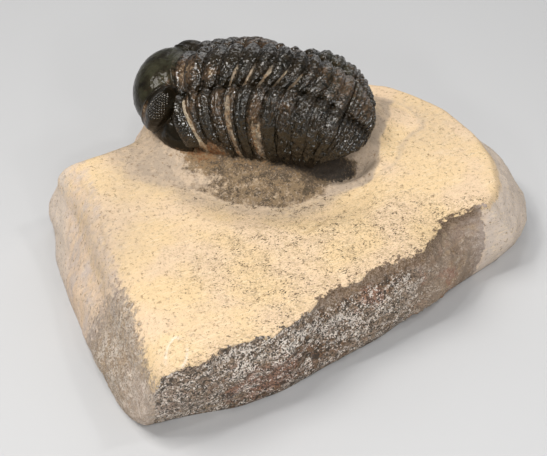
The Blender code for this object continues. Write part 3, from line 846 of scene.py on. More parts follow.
    def broken(self, graph: NodeGraph) -> tuple[Socket, Socket]:
        """The broken face: grey, brown and reddish clouds under white and black grains in swarms.

        Args:
            graph: The material's nodes.

        Returns:
            The colour, and each grain's own value, for the bump.
        """
        grit = graph.mark("grit")
        layers = graph.stretched(self.layer_turn, (2.6, 1.0, 0.8))
        brown = graph.ragged("brown", (3.6, 5, 0.65, layers), (-0.6, 0.6))
        colour = graph.blend(graph.step(brown, 0.1, 0.9), self.broken_grey, self.broken_brown)
        tanned = graph.ragged("tanned", (2.2, 5, 0.7, layers), (-0.5, 0.5))
        colour = graph.over(colour, self.tanned, tanned, 0.3, 0.8, 0.9)
        red = graph.ragged("reddish", (3.6, 4, 0.7), (-0.7, 0.45))
        colour = graph.over(colour, self.broken_red, red, 0.1, 0.6, 0.85)
        colour = graph.blend(graph.times(graph.mark("pale"), 0.8), colour, self.lilac)
        blotch = graph.plus(graph.noise(2.1, 5, 0.7, layers), graph.times(graph.mark("salted"), 0.05))
        blotch = graph.step(blotch, 0.50, 0.66, (0.0, 0.6))
        colour = graph.blend(graph.times(blotch, grit), colour, self.salt)
        gloom = graph.clouds((1.9, 5, 0.75), 0.48, 0.60, (0.0, 0.88))
        colour = graph.blend(graph.times(gloom, grit), colour, self.pepper)
        grain = graph.crystals(self.grain_size)
        swarm = graph.clouds((2.6, 3, 0.6), 0.34, 0.66, (-0.32, 0.10))
        swarm = graph.plus(swarm, graph.times(graph.mark("salted"), 0.28))
        salt = graph.step(graph.plus(grain, swarm), 0.58, 0.78)
        colour = graph.blend(graph.times(salt, graph.sum("MINIMUM", grit, 0.9)), colour, self.salt)
        dark_swarm = graph.clouds((1.9, 4, 0.65), 0.34, 0.66, (-0.26, 0.14))
        pepper = graph.step(graph.plus(grain, dark_swarm), 0.19, 0.34, (1.0, 0.0))
        return graph.blend(graph.times(pepper, graph.sum("MINIMUM", grit, 0.9)), colour, self.pepper), grain

    def border(self, graph: NodeGraph) -> tuple[Socket, Socket]:
        """How far the face is dressed, up to an edge made ragged by noise, and the brown band under it."""
        wide = graph.clouds((2.6, 4, 0.65), 0.25, 0.75, (-1.3, 1.3))
        fine = graph.clouds((0.6, 3, 0.7), 0.25, 0.75, (-0.45, 0.45))
        level = graph.times(graph.sum("SUBTRACT", graph.mark("edge"), 0.5), 2 * EDGE_REACH)
        near_edge = graph.step(graph.mark("edge"), 1.0, 0.85)
        ragged = graph.plus(level, graph.times(graph.plus(wide, fine), near_edge))
        patches = graph.step(graph.plus(graph.noise(3.0, 3), graph.mark("browned")), 0.45, 1.1, (0.0, 0.85))
        whole = graph.step(ragged, -0.12, 0.12)
        kept = graph.step(graph.ragged("crystal", (1.1, 4, 0.65), (-0.45, 0.45)), 0.15, 1.0, (1.0, 0.0))
        return graph.times(whole, kept), graph.times(graph.step(ragged, -3.7, -1.9), patches, kept)

    def material(self, name: str) -> Material:
        """Builds the finish from the points' own marks.

        Args:
            name: The material's name.

        Returns:
            The material.
        """
        graph = NodeGraph(name)
        colour, specks = self.dressed(graph)
        broken, grain = self.broken(graph)
        whole, band = self.border(graph)
        rim = graph.blend(graph.clouds((0.34, 3, 0.8), 0.42, 0.58, (0.0, 0.9)), self.rim, self.broken_grey)
        colour = graph.blend(whole, graph.blend(band, broken, rim), colour)
        rusty = graph.ragged("rust", (0.9, 5, 0.75), (-0.6, 0.6))
        colour = graph.over(colour, self.earth, rusty, 0.2, 0.6, 0.9)
        colour = graph.over(colour, self.rust, rusty, 0.6, 1.0, 0.85)
        # The joints' dark film, and on the slab the painted shadow under the tail, darker and glossier.
        stain = graph.step(graph.ragged("stain", (0.55, 4, 0.8), (-0.5, 0.5)), 0.15, 0.85)
        fine = graph.bump(graph.noise(0.32, 4, 0.7), 0.12)
        pits = graph.bump(graph.sum("SUBTRACT", 1.0, specks), 0.22, fine)
        coarse = graph.times(grain, graph.sum("SUBTRACT", 1.0, whole))
        return graph.finished({
            "Base Color": graph.blend(stain, colour, self.film),
            "Roughness": graph.step(stain, 0.0, 1.0, (self.roughness, self.film_gloss)),
            "Specular IOR Level": 0.3,
            "Normal": graph.bump(coarse, 0.60, pits),
        })


@dataclass(frozen=True)
class Outline:
    """Four runs of points that go round the slab from corner to corner: front, right, back and left."""

    front: Run
    right: Run
    back: Run
    left: Run
    rounding: float = 2.2

    def run(self, corners: Run, shares: Array) -> Array:
        """Points along a run by shares of its length, its bends rounded by a moving mean that keeps the ends.

        Args:
            corners: The run's own points.
            shares: Shares of its length.

        Returns:
            x and y for each share.
        """
        points = np.array(corners, float)
        lengths = np.concatenate([[0], np.cumsum(np.linalg.norm(np.diff(points, axis=0), axis=1))])
        at = shares * lengths[-1]
        window = np.minimum(self.rounding, np.minimum(at, lengths[-1] - at))
        shifts = np.linspace(-1, 1, 7)[:, None] * window
        return np.stack([np.interp(at + shifts, lengths, points[:, k]).mean(axis=0) for k in (0, 1)], -1)

    def patch(self, u: Array, v: Array) -> Array:
        """The flat patch inside the runs: both ruled patches less the one through the corners.

        Args:
            u: Shares along the front run.
            v: Shares along the right run.

        Returns:
            x and y for each pair.
        """
        low, high = self.run(self.front, u), self.run(self.back, 1 - u)
        start, end = self.run(self.left, 1 - v), self.run(self.right, v)
        corners = [np.array(run[0], float) for run in (self.front, self.right, self.back, self.left)]
        u, v = u[:, None], v[:, None]
        shares = ((1 - u) * (1 - v), u * (1 - v), u * v, (1 - u) * v)
        ruled = (1 - v) * low + v * high + (1 - u) * start + u * end
        return ruled - sum(share * corner for share, corner in zip(shares, corners))


@dataclass(frozen=True)
class LimestoneSlab:
    """The slab with its dressed top, the scoop and the pedestal round the animal, and the broken sides."""

    top: Outline = Outline(
        front=(
            (-21.5, -44), (-13.5, -41), (-6, -35.5), (2, -32), (10, -22.5), (21, -14), (31, -9), (36.5, 2),
            (46, 5.5),
        ),
        right=((46, 5.5), (49.5, 13), (49.5, 23), (47, 32), (41, 41.5), (34, 48), (27, 53)),
        back=(
            (27, 53), (14, 57.5), (0, 58.5), (-13, 56), (-24, 48), (-29.5, 38), (-32, 30), (-40.5, 25),
            (-49, 20),
        ),
        left=((-49, 20), (-43, 9), (-37, -8), (-31.5, -24.5), (-27, -34), (-21.5, -44)),
    )
    base: Outline = Outline(
        front=(
            (-25.2, -37.2), (-17, -34.6), (-7, -32.4), (2, -28), (12.5, -20), (22.5, -13), (32, -4),
            (41.5, 4), (51, 12),
        ),
        right=((51, 12), (57.5, 19), (59, 28), (55, 38), (48, 46), (39, 53), (29, 57.5)),
        back=((29, 57.5), (15, 61.5), (0, 62), (-15, 60), (-28, 53), (-36, 43), (-43, 33), (-51.5, 25)),
        left=(
            (-51.5, 25), (-50.5, 13), (-45, -2), (-38.5, -17), (-31.7, -31), (-29.3, -34.8), (-25.2, -37.2),
        ),
    )
    cells: int = 216
    side_rows: int = 34
    base_rings: int = 3
    side_bulge: float = 1.6
    right_bulge: float = 2.4
    ledge_depth: float = 0.9
    rock_top: float = 21.9
    rock_swell: float = 0.45
    hollow_place: tuple[float, float] = (3, 14)
    hollow_size: tuple[float, float] = (28, 18)
    hollow_depth: float = 3.0
    hollow_wall_x: float = 25.0
    hollow_wall_run: float = 6.0
    foot_length: float = 26.5
    foot_width: float = 15.8
    foot_power: float = 2.3
    pedestal_reach: float = 1.6
    pedestal_run: float = 0.58
    back_shoulder: float = 0.3
    undercut: float = 0.4
    undercut_start_x: float = 8.0
    undercut_run: float = 14.0
    head_end_spread: float = 0.55
    head_end_turn: float = 0.5
    head_end_cut: float = 0.42
    head_end_steeper: float = 0.4
    trench: float = 2.2
    rim_radii: tuple[float, float, float, float] = (0.15, 1.3, 3.0, 7.5)
    chip_reach: float = 4.5
    notch: Patch = (2.3, (39.5, 0.5, 19.0), (7.5, 5.0, 5.0))
    slot: Patch = (1.0, (-19.0, -44.0, 20.0), (3.0, 4.0, 0.7))
    cut_depth: float = 0.30
    bruise_depth: float = 0.16
    bruise_place: tuple[float, float] = (-18.0, -38.8)
    bruise_size: tuple[float, float] = (2.0, 4.1)
    bruise_width: float = 0.10
    bruise_turn: float = 40.0
    cuts: tuple[tuple[tuple[float, float], tuple[float, float], float], ...] = (
        ((5.4, -4.6), (13.5, 3.4), 0.5),
        ((-43.2, 17.4), (-39.2, 7.8), 0.28),
        ((-44.4, 13.0), (-39.8, 1.0), 0.26),
        ((-39.0, -2.3), (-33.8, -17.8), 0.28),
        ((-36.5, 4.0), (-35.5, -8.0), 0.26),
    )
    patches: ClassVar[dict[str, tuple[Patch, ...]]] = {
        "notch": ((1.0, (40.5, 1.0, 20.0), (8.5, 5.0, 6.0)),),
        "tan": ((0.4, (-17.5, 15.0, 21), (5.0, 3.0, 6)),),
        # The first skirt patch paints the shade below the head.
        "skirt": (
            (0.7, (-27, 18, 21), (6.0, 6.0, 6)), (0.5, (-36, -4, 21), (13, 22, 9)),
            (0.45, (32, 36, 21), (16, 16, 9)),
        ),
        "speckle": (
            (1.0, (4, -14, 20), (27, 15, 9)), (0.9, (28, -2, 21), (17, 11, 9)),
            (-0.5, (-32, -5, 21), (14, 34, 9)), (-0.35, (38, 32, 21), (16, 16, 9)),
        ),
        "brown": (
            (0.9, (19, -15, 19), (13, 6, 3)), (0.8, (2, -27, 8), (8, 7, 8)), (0.6, (-3, -31, 5), (8, 8, 6)),
            (0.5, (49, 14, 8), (6, 6, 6)), (0.5, (10, -24, 13), (14, 9, 8)),
        ),
        "tanned": (
            (0.6, (-24, -42, 3), (9, 7, 6)), (0.7, (41, -6, 9), (6, 6, 6)), (0.5, (-12, -38, 2), (12, 8, 3)),
        ),
        "reddish": (
            (1.3, (-1, -32, 8), (7, 8, 6)), (0.7, (20, -19, 17), (4, 5, 3)), (0.8, (40, -7, 12), (4, 5, 5)),
        ),
        "salted": (
            (1.0, (-7, -33, 18), (8, 5, 4)), (1.0, (3, -26, 18), (5, 5, 4)), (0.7, (12, -21, 14), (9, 6, 5)),
        ),
        "pale": ((0.5, (-24, -40, 8), (7, 7, 12)), (0.35, (47, 7, 14), (5, 6, 12))),
    }

    def foot_ring(self, x: Array, y: Array) -> Array:
        """1 on the body's own foot, a rounded oval, and growing outwards from it."""
        along, across = BODY.to_bed(x, y)
        total = np.abs(along / self.foot_length) ** self.foot_power
        total += np.abs(across / self.foot_width) ** self.foot_power
        return total ** (1 / self.foot_power)

    def crease_ring(self, along: Array, across: Array) -> tuple[Array, Array]:
        """The ring where the pedestal's slope meets the shelf, and how far a place is at the head's end."""
        undercut = self.undercut * smooth((along - self.undercut_start_x) / self.undercut_run)
        head_end = -along / self.foot_length - self.head_end_spread * np.abs(across) / self.foot_width
        head_end = smooth(head_end / self.head_end_turn)
        reach = self.pedestal_reach - undercut + self.back_shoulder * smooth(across / self.foot_width)
        return reach - self.head_end_cut * head_end, head_end

    def height(self, x: Array, y: Array) -> Array:
        """The top: a gently swelling shelf, less the scoop, with the pedestal's slope up to the tilted bed.

        On the near side the slope is partly a straight ramp, and a trench runs under the tail's near edge.

        Args:
            x: Places in the slab's frame.
            y: Places in the slab's frame.

        Returns:
            Heights over the base.
        """
        along, across = BODY.to_bed(x, y)
        ring = self.foot_ring(x, y)
        reach, head_end = self.crease_ring(along, across)
        crisp = np.clip((reach - ring) / (self.pedestal_run - self.head_end_steeper * head_end), 0, 1)
        slope = smooth(crisp)
        pedestal = slope + 0.45 * (crisp - slope) * smooth((4 - across) / 8) * (1 - head_end)
        bed = BODY.bed_height + across * math.sin(math.radians(BODY.roll))
        dish = ((x - self.hollow_place[0]) / self.hollow_size[0]) ** 2
        dish += ((y - self.hollow_place[1]) / self.hollow_size[1]) ** 2
        wall = smooth((self.hollow_wall_x - x) / self.hollow_wall_run)
        swell = self.rock_swell * np.sin(x / 9 + 0.7) * np.cos(y / 11 - 0.4)
        shelf = self.rock_top + swell - self.hollow_depth * smooth(1 - dish) * wall
        trench = smooth((ring - 0.68) / 0.14) * smooth((1.12 - ring) / 0.12) * smooth((along - 8) / 8)
        return shelf + (bed - shelf) * pedestal - self.trench * trench * smooth((-across - 1) / 4)

    def edge_loop(self) -> tuple[Array, Array]:
        """The shares u and v of points round the patch's edge, anticlockwise from the front left corner."""
        step = np.arange(self.cells) / self.cells
        one, zero = np.ones(self.cells), np.zeros(self.cells)
        return np.concatenate([step, one, 1 - step, zero]), np.concatenate([zero, step, one, 1 - step])

    def side_point(self, u: Array, v: Array, drop: Array) -> Array:
        """Points of the sides: straight from top to base outline, pushed out by a half sine and by ledges."""
        top, base = self.top.patch(u, v), self.base.patch(u, v)
        flat = top + (base - top) * drop[:, None]
        outwards = flat - np.array(FOOTPRINT_MIDDLE)
        outwards /= np.linalg.norm(outwards, axis=1, keepdims=True)
        bulge = self.side_bulge + self.right_bulge * np.clip(outwards[:, 0], 0, 1)
        ledges = self.ledge_depth * np.sin(flat[:, 0] / 4.3 + 5 * drop) * np.cos(flat[:, 1] / 5.1 - 3 * drop)
        flat = flat + outwards * ((bulge + ledges) * np.sin(math.pi * drop))[:, None]
        start = self.height(top[:, 0], top[:, 1]) - self.rim_radius(u, v)
        return np.column_stack([flat, start * (1 - drop)])

    def rim_radius(self, u: Array, v: Array) -> Array:
        """How far the rim is rounded at points of the edge: a mean of the runs' radii, close ones first."""
        gaps = np.stack([v, 1 - u, 1 - v, u])
        shares = 1 / (gaps + 0.02) ** 2
        return np.sum(np.array(self.rim_radii)[:, None] * shares, axis=0) / np.sum(shares, axis=0)

    def rim_drop(self, flat: Array) -> Array:
        """How far the top falls away towards the rim: a quarter circle of the nearest edge point's radius."""
        loop_u, loop_v = self.edge_loop()
        rim = self.top.patch(loop_u[::3], loop_v[::3])
        radii = self.rim_radius(loop_u[::3], loop_v[::3])
        lowered = np.zeros(len(flat))
        for point, radius in zip(rim, radii):
            share = np.clip(np.hypot(flat[:, 0] - point[0], flat[:, 1] - point[1]) / radius, 0, 1)
            lowered = np.maximum(lowered, radius * (1 - np.sqrt(1 - (1 - share) ** 2)))
        return lowered

    def skin(self) -> tuple[Surface, Array]:
        """Joins the top's grid, the rows of the sides and the rings of the base into one closed surface.

        Returns:
            The surface, and how far down each point is: 0 on the top, 0 to 1 on the sides, 1 on the base.
        """
        n = self.cells
        share = np.arange(n + 1) / n
        v, u = (a.ravel() for a in np.meshgrid(share, share, indexing="ij"))
        flat = self.top.patch(u, v)
        top = np.column_stack([flat, self.height(flat[:, 0], flat[:, 1]) - self.rim_drop(flat)])
        loop_u, loop_v = self.edge_loop()
        loop = np.rint(loop_v * n).astype(int) * (n + 1) + np.rint(loop_u * n).astype(int)
        falls = np.linspace(0, 1, self.side_rows + 1)[1:]
        rings = [self.side_point(loop_u, loop_v, np.full(4 * n, fall)) for fall in falls]
        foot = rings[-1]
        middle = foot.mean(axis=0)
        insets = np.linspace(0, 1, self.base_rings + 1)[1:-1]
        rings += [foot + (middle - foot) * inset for inset in insets]
        points = [top, *rings, middle[None]]
        drop = np.concatenate([np.zeros(len(u)), np.repeat(falls, 4 * n), np.ones(4 * n * len(insets) + 1)])
        rows = [loop, *(len(u) + np.arange(4 * n * len(rings)).reshape(len(rings), -1))]
        last = len(drop) - 1
        quads = [grid_quads(n + 1, n + 1)]
        for upper, lower in zip(rows[:-1], rows[1:]):
            quads.append(np.stack([upper, lower, np.roll(lower, -1), np.roll(upper, -1)], -1))
        fan = np.stack([rows[-1], np.full(4 * n, last), np.roll(rows[-1], -1)], -1)
        return Surface(np.concatenate(points), [np.concatenate(quads), fan]), drop

    def zones(self, points: Array) -> dict[str, Array]:
        """Parts the skin by place: the smooth left side, the smooth back, the right end and the broken front.

        Args:
            points: The skin's points.

        Returns:
            A share from 0 to 1 for each zone.
        """
        x, y = points[:, 0], points[:, 1]
        left = smooth((-22.5 - x - 0.30 * (y + 42)) / 3.5 + 0.5)
        back = smooth((y - 24) / 14)
        right = smooth((x - 42) / 6) * smooth((y - 1) / 6)
        low_left = left * smooth((-12 - y) / 14)
        corner = smooth((y - 8) / 6) * smooth((10 - x) / 10)
        front = 1 - smooth(left + back + right + corner)
        return {"left": left, "back": back, "right": right, "low_left": low_left, "front": front}

    def rim_gap(self, points: Array, drop: Array, run: str = "front") -> Array:
        """How far each point of the top lies in from a rim; below the rim, minus the depth under it.

        Args:
            points: The skin's points, the top's grid first.
            drop: How far down each point is.
            run: Which rim, the front one or the left one.

        Returns:
            Distances in millimetres.
        """
        n = self.cells
        rim = points[: n + 1 : 2, :2] if run == "front" else points[:: 2 * (n + 1), :2][: n // 2 + 1]
        top = (n + 1) ** 2
        gap = np.full(top, 99.0)
        for place in rim:
            gap = np.minimum(gap, np.hypot(points[:top, 0] - place[0], points[:top, 1] - place[1]))
        return np.concatenate([gap, -self.rock_top * drop[top:]])

    def roughen(self, surface: Surface, drop: Array) -> None:
        """Moves the points: broken lumps in front, grooves down the smooth sides, faint swells on top.

        The broken lumps start at the rim itself, where they push level with the slab, so that it is chipped.
        The notch in the right rim, the slot under the front corner and the tools' scars are sunk in as well.

        Args:
            surface: The slab's skin, which is changed.
            drop: How far down each point is.
        """
        fixed = drop >= 1
        gap = self.rim_gap(surface.points, drop)
        near_rim = np.where(drop > 0, 1.0, smooth(1 - gap / self.chip_reach))
        sharp = self.zones(surface.points)["front"] * near_rim
        weight = 0.6 * bell(drop * 5) * (drop > 0) + 0.3 * (drop == 0)
        surface.relax(np.where(fixed, 0, weight * (1 - 0.85 * sharp)), 6)
        points = surface.points
        zone = self.zones(points)
        normal = surface.normals()
        edge = smooth((1 - drop) * 9)
        ridges = Grain.fractal(points, 3.6, 3, 12, ridged=True)
        lumps = 0.80 * Grain.fractal(points, 8.0, 3, 11) + 0.60 * ridges
        crystals, _ = Grain.cells(points, 1.5, 15)
        grains = 0.30 * Grain.fractal(points, 1.3, 2, 13) - 0.34 * smooth((crystals - 0.35) / 0.4)
        grooves = 0.16 * Grain.fractal(points * np.array([1.0, 1.0, 0.12]), 3.2, 2, 16)
        soft = 0.14 * Grain.fractal(points, 9.0, 2, 14) + 0.05 * Grain.fractal(points, 2.2, 2, 17)
        smooth_side = smooth(drop * 9) * (1 - zone["front"])
        broken = (lumps + grains) * zone["front"] * near_rim * edge
        level = points - np.array([*FOOTPRINT_MIDDLE, 0])
        level[:, 2] = 0
        level /= np.maximum(np.linalg.norm(level, axis=1, keepdims=True), 1e-6)
        turned = (smooth(1 - drop * 9) * (drop < 1))[:, None]
        outwards = normal * (1 - turned) + level * turned
        amount = soft + (grooves + 0.5 * lumps) * smooth_side * edge
        amount = amount - self.notch[0] * spot(points, *self.notch[1:]) * smooth((drop + 0.15) / 0.2)
        amount = amount - self.slot[0] * spot(points, *self.slot[1:]) * (drop > 0)
        cut, bruise = self.scars(points)
        amount = amount - self.cut_depth * cut * (drop < 0.3) - self.bruise_depth * bruise * (drop == 0)
        surface.points = points + normal * np.where(fixed, 0, amount)[:, None] + outwards * broken[:, None]
        surface.points[:, 2] = np.where(fixed, 0, np.maximum(surface.points[:, 2], 0.02))

    def scars(self, points: Array) -> tuple[Array, Array]:
        """How far each point lies in a tool's dark cut, or in the pale bruise near the front corner.

        A cut is a bell across its own wavering line, with soft ends. The bruise is a bell across an ellipse's
        line, open at two opposite places, where the cosine of twice the turn is low.

        Args:
            points: The skin's points.

        Returns:
            Two values from 0 to 1 for each point.
        """
        cut = np.zeros(len(points))
        for start, end, width in self.cuts:
            run = np.array(end) - np.array(start)
            length = np.linalg.norm(run)
            offset = points[:, :2] - np.array(start)
            along = offset @ run / length
            off = (offset[:, 1] * run[0] - offset[:, 0] * run[1]) / length + 0.5 * np.sin(along / 2.1)
            cut = np.maximum(cut, bell(off / width) * smooth(along / 2) * smooth((length - along) / 3))
        x, y = ((points[:, :2] - np.array(self.bruise_place)) / np.array(self.bruise_size)).T
        turn = np.arctan2(y, x) + math.radians(self.bruise_turn)
        return cut, bell((np.hypot(x, y) - 1) / self.bruise_width) * smooth(1.1 + np.cos(2 * turn))

    def spots(self, name: str, points: Array) -> Array:
        """Adds up the bells of a mark's own patches, each one a strength, a middle and a size each way."""
        return sum(strength * spot(points, middle, size) for strength, middle, size in self.patches[name])

    def top_marks(self, points: Array, drop: Array, gap: Array) -> dict[str, Array]:
        """What the dressed face's finish reads, from the rings round the body's foot, which is ring 1.

        The painted shade lies inside the crease on the near side, deepest near and under the animal, and it
        ends with the scoop's wall at stop_x. The grey skirt reaches beyond the crease; below the head and on
        the scoop's wall behind the tail it paints shade. The painted shadow under the tail, in the dark film
        colour, and the rust lie along the foot itself.

        Args:
            points: The skin's points.
            drop: How far down each point is.
            gap: How far each point lies in from the front rim.

        Returns:
            A value for each point and mark.
        """
        x, y, _ = points.T
        ring = self.foot_ring(x, y)
        along, across = BODY.to_bed(x, y)
        on_top = smooth(1 - drop * 14)
        lit = smooth((13 - across) / 8)
        near = smooth((-across - 4) / 4)
        wander = 0.05 * Grain.fractal(points, 5.0, 3, 19)
        crease, _ = self.crease_ring(along, across)
        inside = smooth((crease + wander - ring) / 0.09 + 0.5)
        stop_x = 17.4 + 0.227 * (y - 9.3) + 22 * wander
        wall = np.maximum(smooth((stop_x + 4.0 - x) / 1.6), 1 - inside)
        outer = 2.15 - 0.9 * smooth((along - 12) / 16) - 0.25 * smooth((-along - 8) / 12)
        beyond = smooth((outer + 2 * wander - ring) / 0.5) * (1 - inside)
        dark_along = smooth((along + 17) / 6) * (1 - 0.8 * smooth((along - 15) / 6))
        close = smooth((1.30 + 3 * wander - ring) / 0.3)
        # Painted shade inside the crease, deepest close to the animal; the skirt's last term paints the
        # wall's shade.
        shade = inside * dark_along * (0.70 + 0.5 * close - self.spots("tan", points))
        skirt = 0.85 * inside + 0.62 * beyond + 0.55 * inside * smooth((along - 17) / 5)
        skirt = skirt + self.spots("skirt", points)
        open_sides = np.maximum(lit, np.maximum(smooth((x - 20) / 10), smooth((-22 - x) / 10)))
        speckle = 0.25 + 0.8 * shade + 0.55 * beyond + 0.8 * smooth(1 - gap / 5)
        speckle = speckle + self.spots("speckle", points)
        # Painted shadow under the tail and the near flank; its darkest part takes the dark film colour.
        under = smooth((1.04 + 2 * wander - ring) / 0.14) * smooth((along - 4) / 8) * near
        painted_tail_shadow = 0.75 * smooth((1.15 + 2 * wander - ring) / 0.42) * smooth((along - 4) / 12) * near
        painted_tail_shadow = np.maximum(painted_tail_shadow, 0.8 * smooth((1.08 + wander - ring) / 0.12) * smooth((along - 3) / 4) * near)
        rust = 0.95 * bell((ring - 1.03) / 0.16) * bell((along + 11.0) / 4.6) * near
        rust = np.maximum(rust, 0.45 * bell((ring - 1.0) / 0.12) * bell((along - 2) / 9) * near)
        return {
            "speckle": np.clip(speckle, 0, 1) * on_top,
            "shade": np.clip(shade + 0.8 * under, 0, 1.3) * lit * smooth((stop_x - x) / 1.6) * on_top,
            "skirt": np.clip(skirt, 0, 1.4) * open_sides * wall * on_top,
            "rust": rust * on_top,
            "stain": 1.1 * painted_tail_shadow * smooth((stop_x - 0.5 - x) / 2.5) * on_top,
        }

    def side_marks(self, points: Array, drop: Array) -> dict[str, Array]:
        """What the finish reads on the sides, from the skin's zones and the marks' own patches.

        Args:
            points: The skin's points.
            drop: How far down each point is.

        Returns:
            A value from 0 to 1 for each point and mark.
        """
        x = points[:, 0]
        zone = self.zones(points)
        left_gap = self.rim_gap(points, drop, "left")
        notch = self.spots("notch", points)
        pale = 0.9 * zone["right"] + 0.8 * zone["left"] - 0.6 * zone["low_left"] + 0.85 * zone["back"]
        pale = pale + 0.35 * notch + self.spots("pale", points)
        grit = zone["front"] + 0.35 * zone["low_left"] + 0.2 - 0.4 * pale - 0.6 * notch
        side = smooth(drop * 14) * np.clip(2 * (zone["left"] + zone["right"] + zone["back"]), 0, 1)
        marks = {
            "pale": pale,
            "brown": self.spots("brown", points) + 0.7 * notch,
            "tanned": 0.85 * notch + 0.8 * zone["low_left"] + self.spots("tanned", points),
            "reddish": self.spots("reddish", points),
            "salted": self.spots("salted", points) + 0.7 * zone["low_left"] * smooth(1 - left_gap / 6),
            "side": np.maximum(side, 0.75 * smooth(1 - left_gap / 17) * zone["left"]),
            "crystal": zone["low_left"] * smooth((drop + 0.12) * 6) * smooth((1.1 - drop) / 0.2),
            "ashen": zone["right"] + smooth((-44 - x) / 4) + 0.5 * zone["low_left"],
            "browned": smooth((x - 3) / 12) * smooth((45 - x) / 4),
        }
        marks = {name: np.clip(values, 0, 1) for name, values in marks.items()}
        return {**marks, "grit": np.clip(grit, 0, 1) * (1 - 0.75 * smooth((x - 24) / 12))}

    def paint(self, surface: Surface, drop: Array) -> None:
        """Marks each point with what the finish reads there."""
        points = surface.points
        gap = self.rim_gap(points, drop)
        broken = np.where(drop > 0, self.zones(points)["front"], 1.0)
        cut, bruise = self.scars(points)
        surface.marks = {
            "edge": 1 - (1 - np.clip(0.5 + gap / (2 * EDGE_REACH), 0, 1)) * broken,
            "cut": cut * (drop < 0.3) * np.where(points[:, 0] < -25, 0.8, 1.0),
            "bruise": bruise * smooth(1 - drop * 14),
            **self.top_marks(points, drop, gap),
            **self.side_marks(points, drop),
        }

    def build(self, finish: Material) -> None:
        """Builds the slab."""
        surface, drop = self.skin()
        self.roughen(surface, drop)
        self.paint(surface, drop)
        surface.points -= (*FOOTPRINT_MIDDLE, 0)
        surface.build("limestone_slab", finish, Slot.LIMESTONE, ("limestone_matrix",))


@dataclass(frozen=True)
class Slits:
    """The joints between the plates: hairlines filled with brown film, some of them opened to pale rock."""

    hairline: float = 0.11
    opened: float = 0.66
    stripe: float = 0.62
    first: int = 3
    last: int = 7

    def pale(self, joint: int, across: Array) -> Array:
        """How far a joint is opened: on the axis's near half for some, down the near side for the first."""
        if joint == 0:
            return smooth((-across - 0.46) / 0.08) * smooth((0.97 + across) / 0.06)
        if self.first <= joint <= self.last:
            return smooth((-across - 0.08) / 0.14) * smooth((0.43 + across) / 0.06)
        return np.zeros_like(across)

    def half(self, joint: int, across: Array, points: Array) -> Array:
        """Half of a joint's width in millimetres, uneven by noise, and tighter past the last opened joint."""
        opened = self.opened if joint else self.stripe
        closed = self.hairline * (1 - 0.6 * (joint > self.last) * smooth((0.2 - across) / 0.3))
        width = closed + (opened - closed) * self.pale(joint, across)
        uneven = Grain.fractal(points, 1.4, 2, 43 + joint)
        return 0.5 * width * (1 + 0.6 * uneven)


SLITS = Slits()


@dataclass(frozen=True)
class RockInfill:
    """The rock that fills the body and shows in the slits between the plates and where they are broken."""

    start: float = -1.1
    stations: int = 300
    steps: int = 280
    floor_steps: int = 4
    depth: float = 0.34
    root: float = 3.0
    least_rust: float = 0.22
    rusty: tuple[WornPlace, ...] = (
        (3.5, 0.82, 4.5, 0.10, 0.9),
        (18.2, 0.66, 2.4, 0.14, 0.80),
        (11.5, 0.60, 2.0, 0.14, 0.42),
    )

    def build(self, finish: Material) -> None:
        """Sweeps the body's section, a little under the smooth back, with grainy noise, and marks it.

        Each rusty place is a bell along the body that starts, by a smooth step, at a share across the near
        side. The stripe of the first opened joint stays clear of rust.
        """
        along = np.linspace(self.start, BODY.thorax_length + 0.4, self.stations)
        across = np.linspace(-1, 1, self.steps)
        distance, side = np.meshgrid(along, across, indexing="ij")
        place = BODY.surface(distance, side)
        opened = WEAR.open_at(distance, side, place)
        grains = 0.13 * Grain.fractal(place, 0.9, 3, 21) + 0.10 * Grain.fractal(place, 2.4, 2, 22)
        height = -self.depth + grains + 0.30 * smooth(opened * 1.6)
        height = np.minimum(height, 0.15) - 0.3 * smooth((np.abs(side) - 0.96) / 0.04)
        arch = BODY.raised(distance, side, height)
        top_x, top_z = BODY.back_point(along)
        foot_x, foot_z = BODY.margin_point(along)
        foot = foot_x + (foot_x - top_x) * (foot_z + self.root) / (top_z - foot_z)
        floor = []
        for share in np.linspace(1, -1, self.floor_steps):
            floor.append(np.stack([foot, arch[:, -1, 1] * share, np.full_like(foot, -self.root)], -1))
        rings = np.concatenate([arch, np.stack(floor, 1)], axis=1)
        surface = closed_sweep(BODY.to_world(rings))
        pale = np.zeros_like(side)
        for joint, middle in enumerate(BODY.joints()):
            reach = 0.9 if joint else 1.2
            pale = np.maximum(pale, bell((distance - middle - 0.2) / reach) * SLITS.pale(joint, side))
        rust = np.zeros_like(side)
        for middle, near_side, half_length, run, strength in self.rusty:
            patch = bell((distance - middle) / half_length) * smooth((-side - near_side) / run)
            rust = np.maximum(rust, strength * patch)
        stripe = bell((distance - 0.4) / 0.9) * smooth((0.93 + side) / 0.08)
        marks = sweep_marks(
            self.floor_steps,
            speckle=np.full_like(side, 0.45),
            skirt=np.full_like(side, 0.9),
            grit=np.full_like(side, 0.5),
            shade=0.58 - 0.30 * stripe,
            rust=np.maximum(rust * (1 - stripe), self.least_rust),
            stain=-np.clip(1.1 * pale + 0.70 * smooth(opened * 1.5), 0, 1),
        )
        none = dict.fromkeys(LimestoneFinish.slab_marks, np.zeros(1))
        surface.marks = {**none, **marks, "edge": np.ones(1), "stain": 1 + marks["stain"]}
        surface.build("rock_infill", finish, Slot.LIMESTONE)


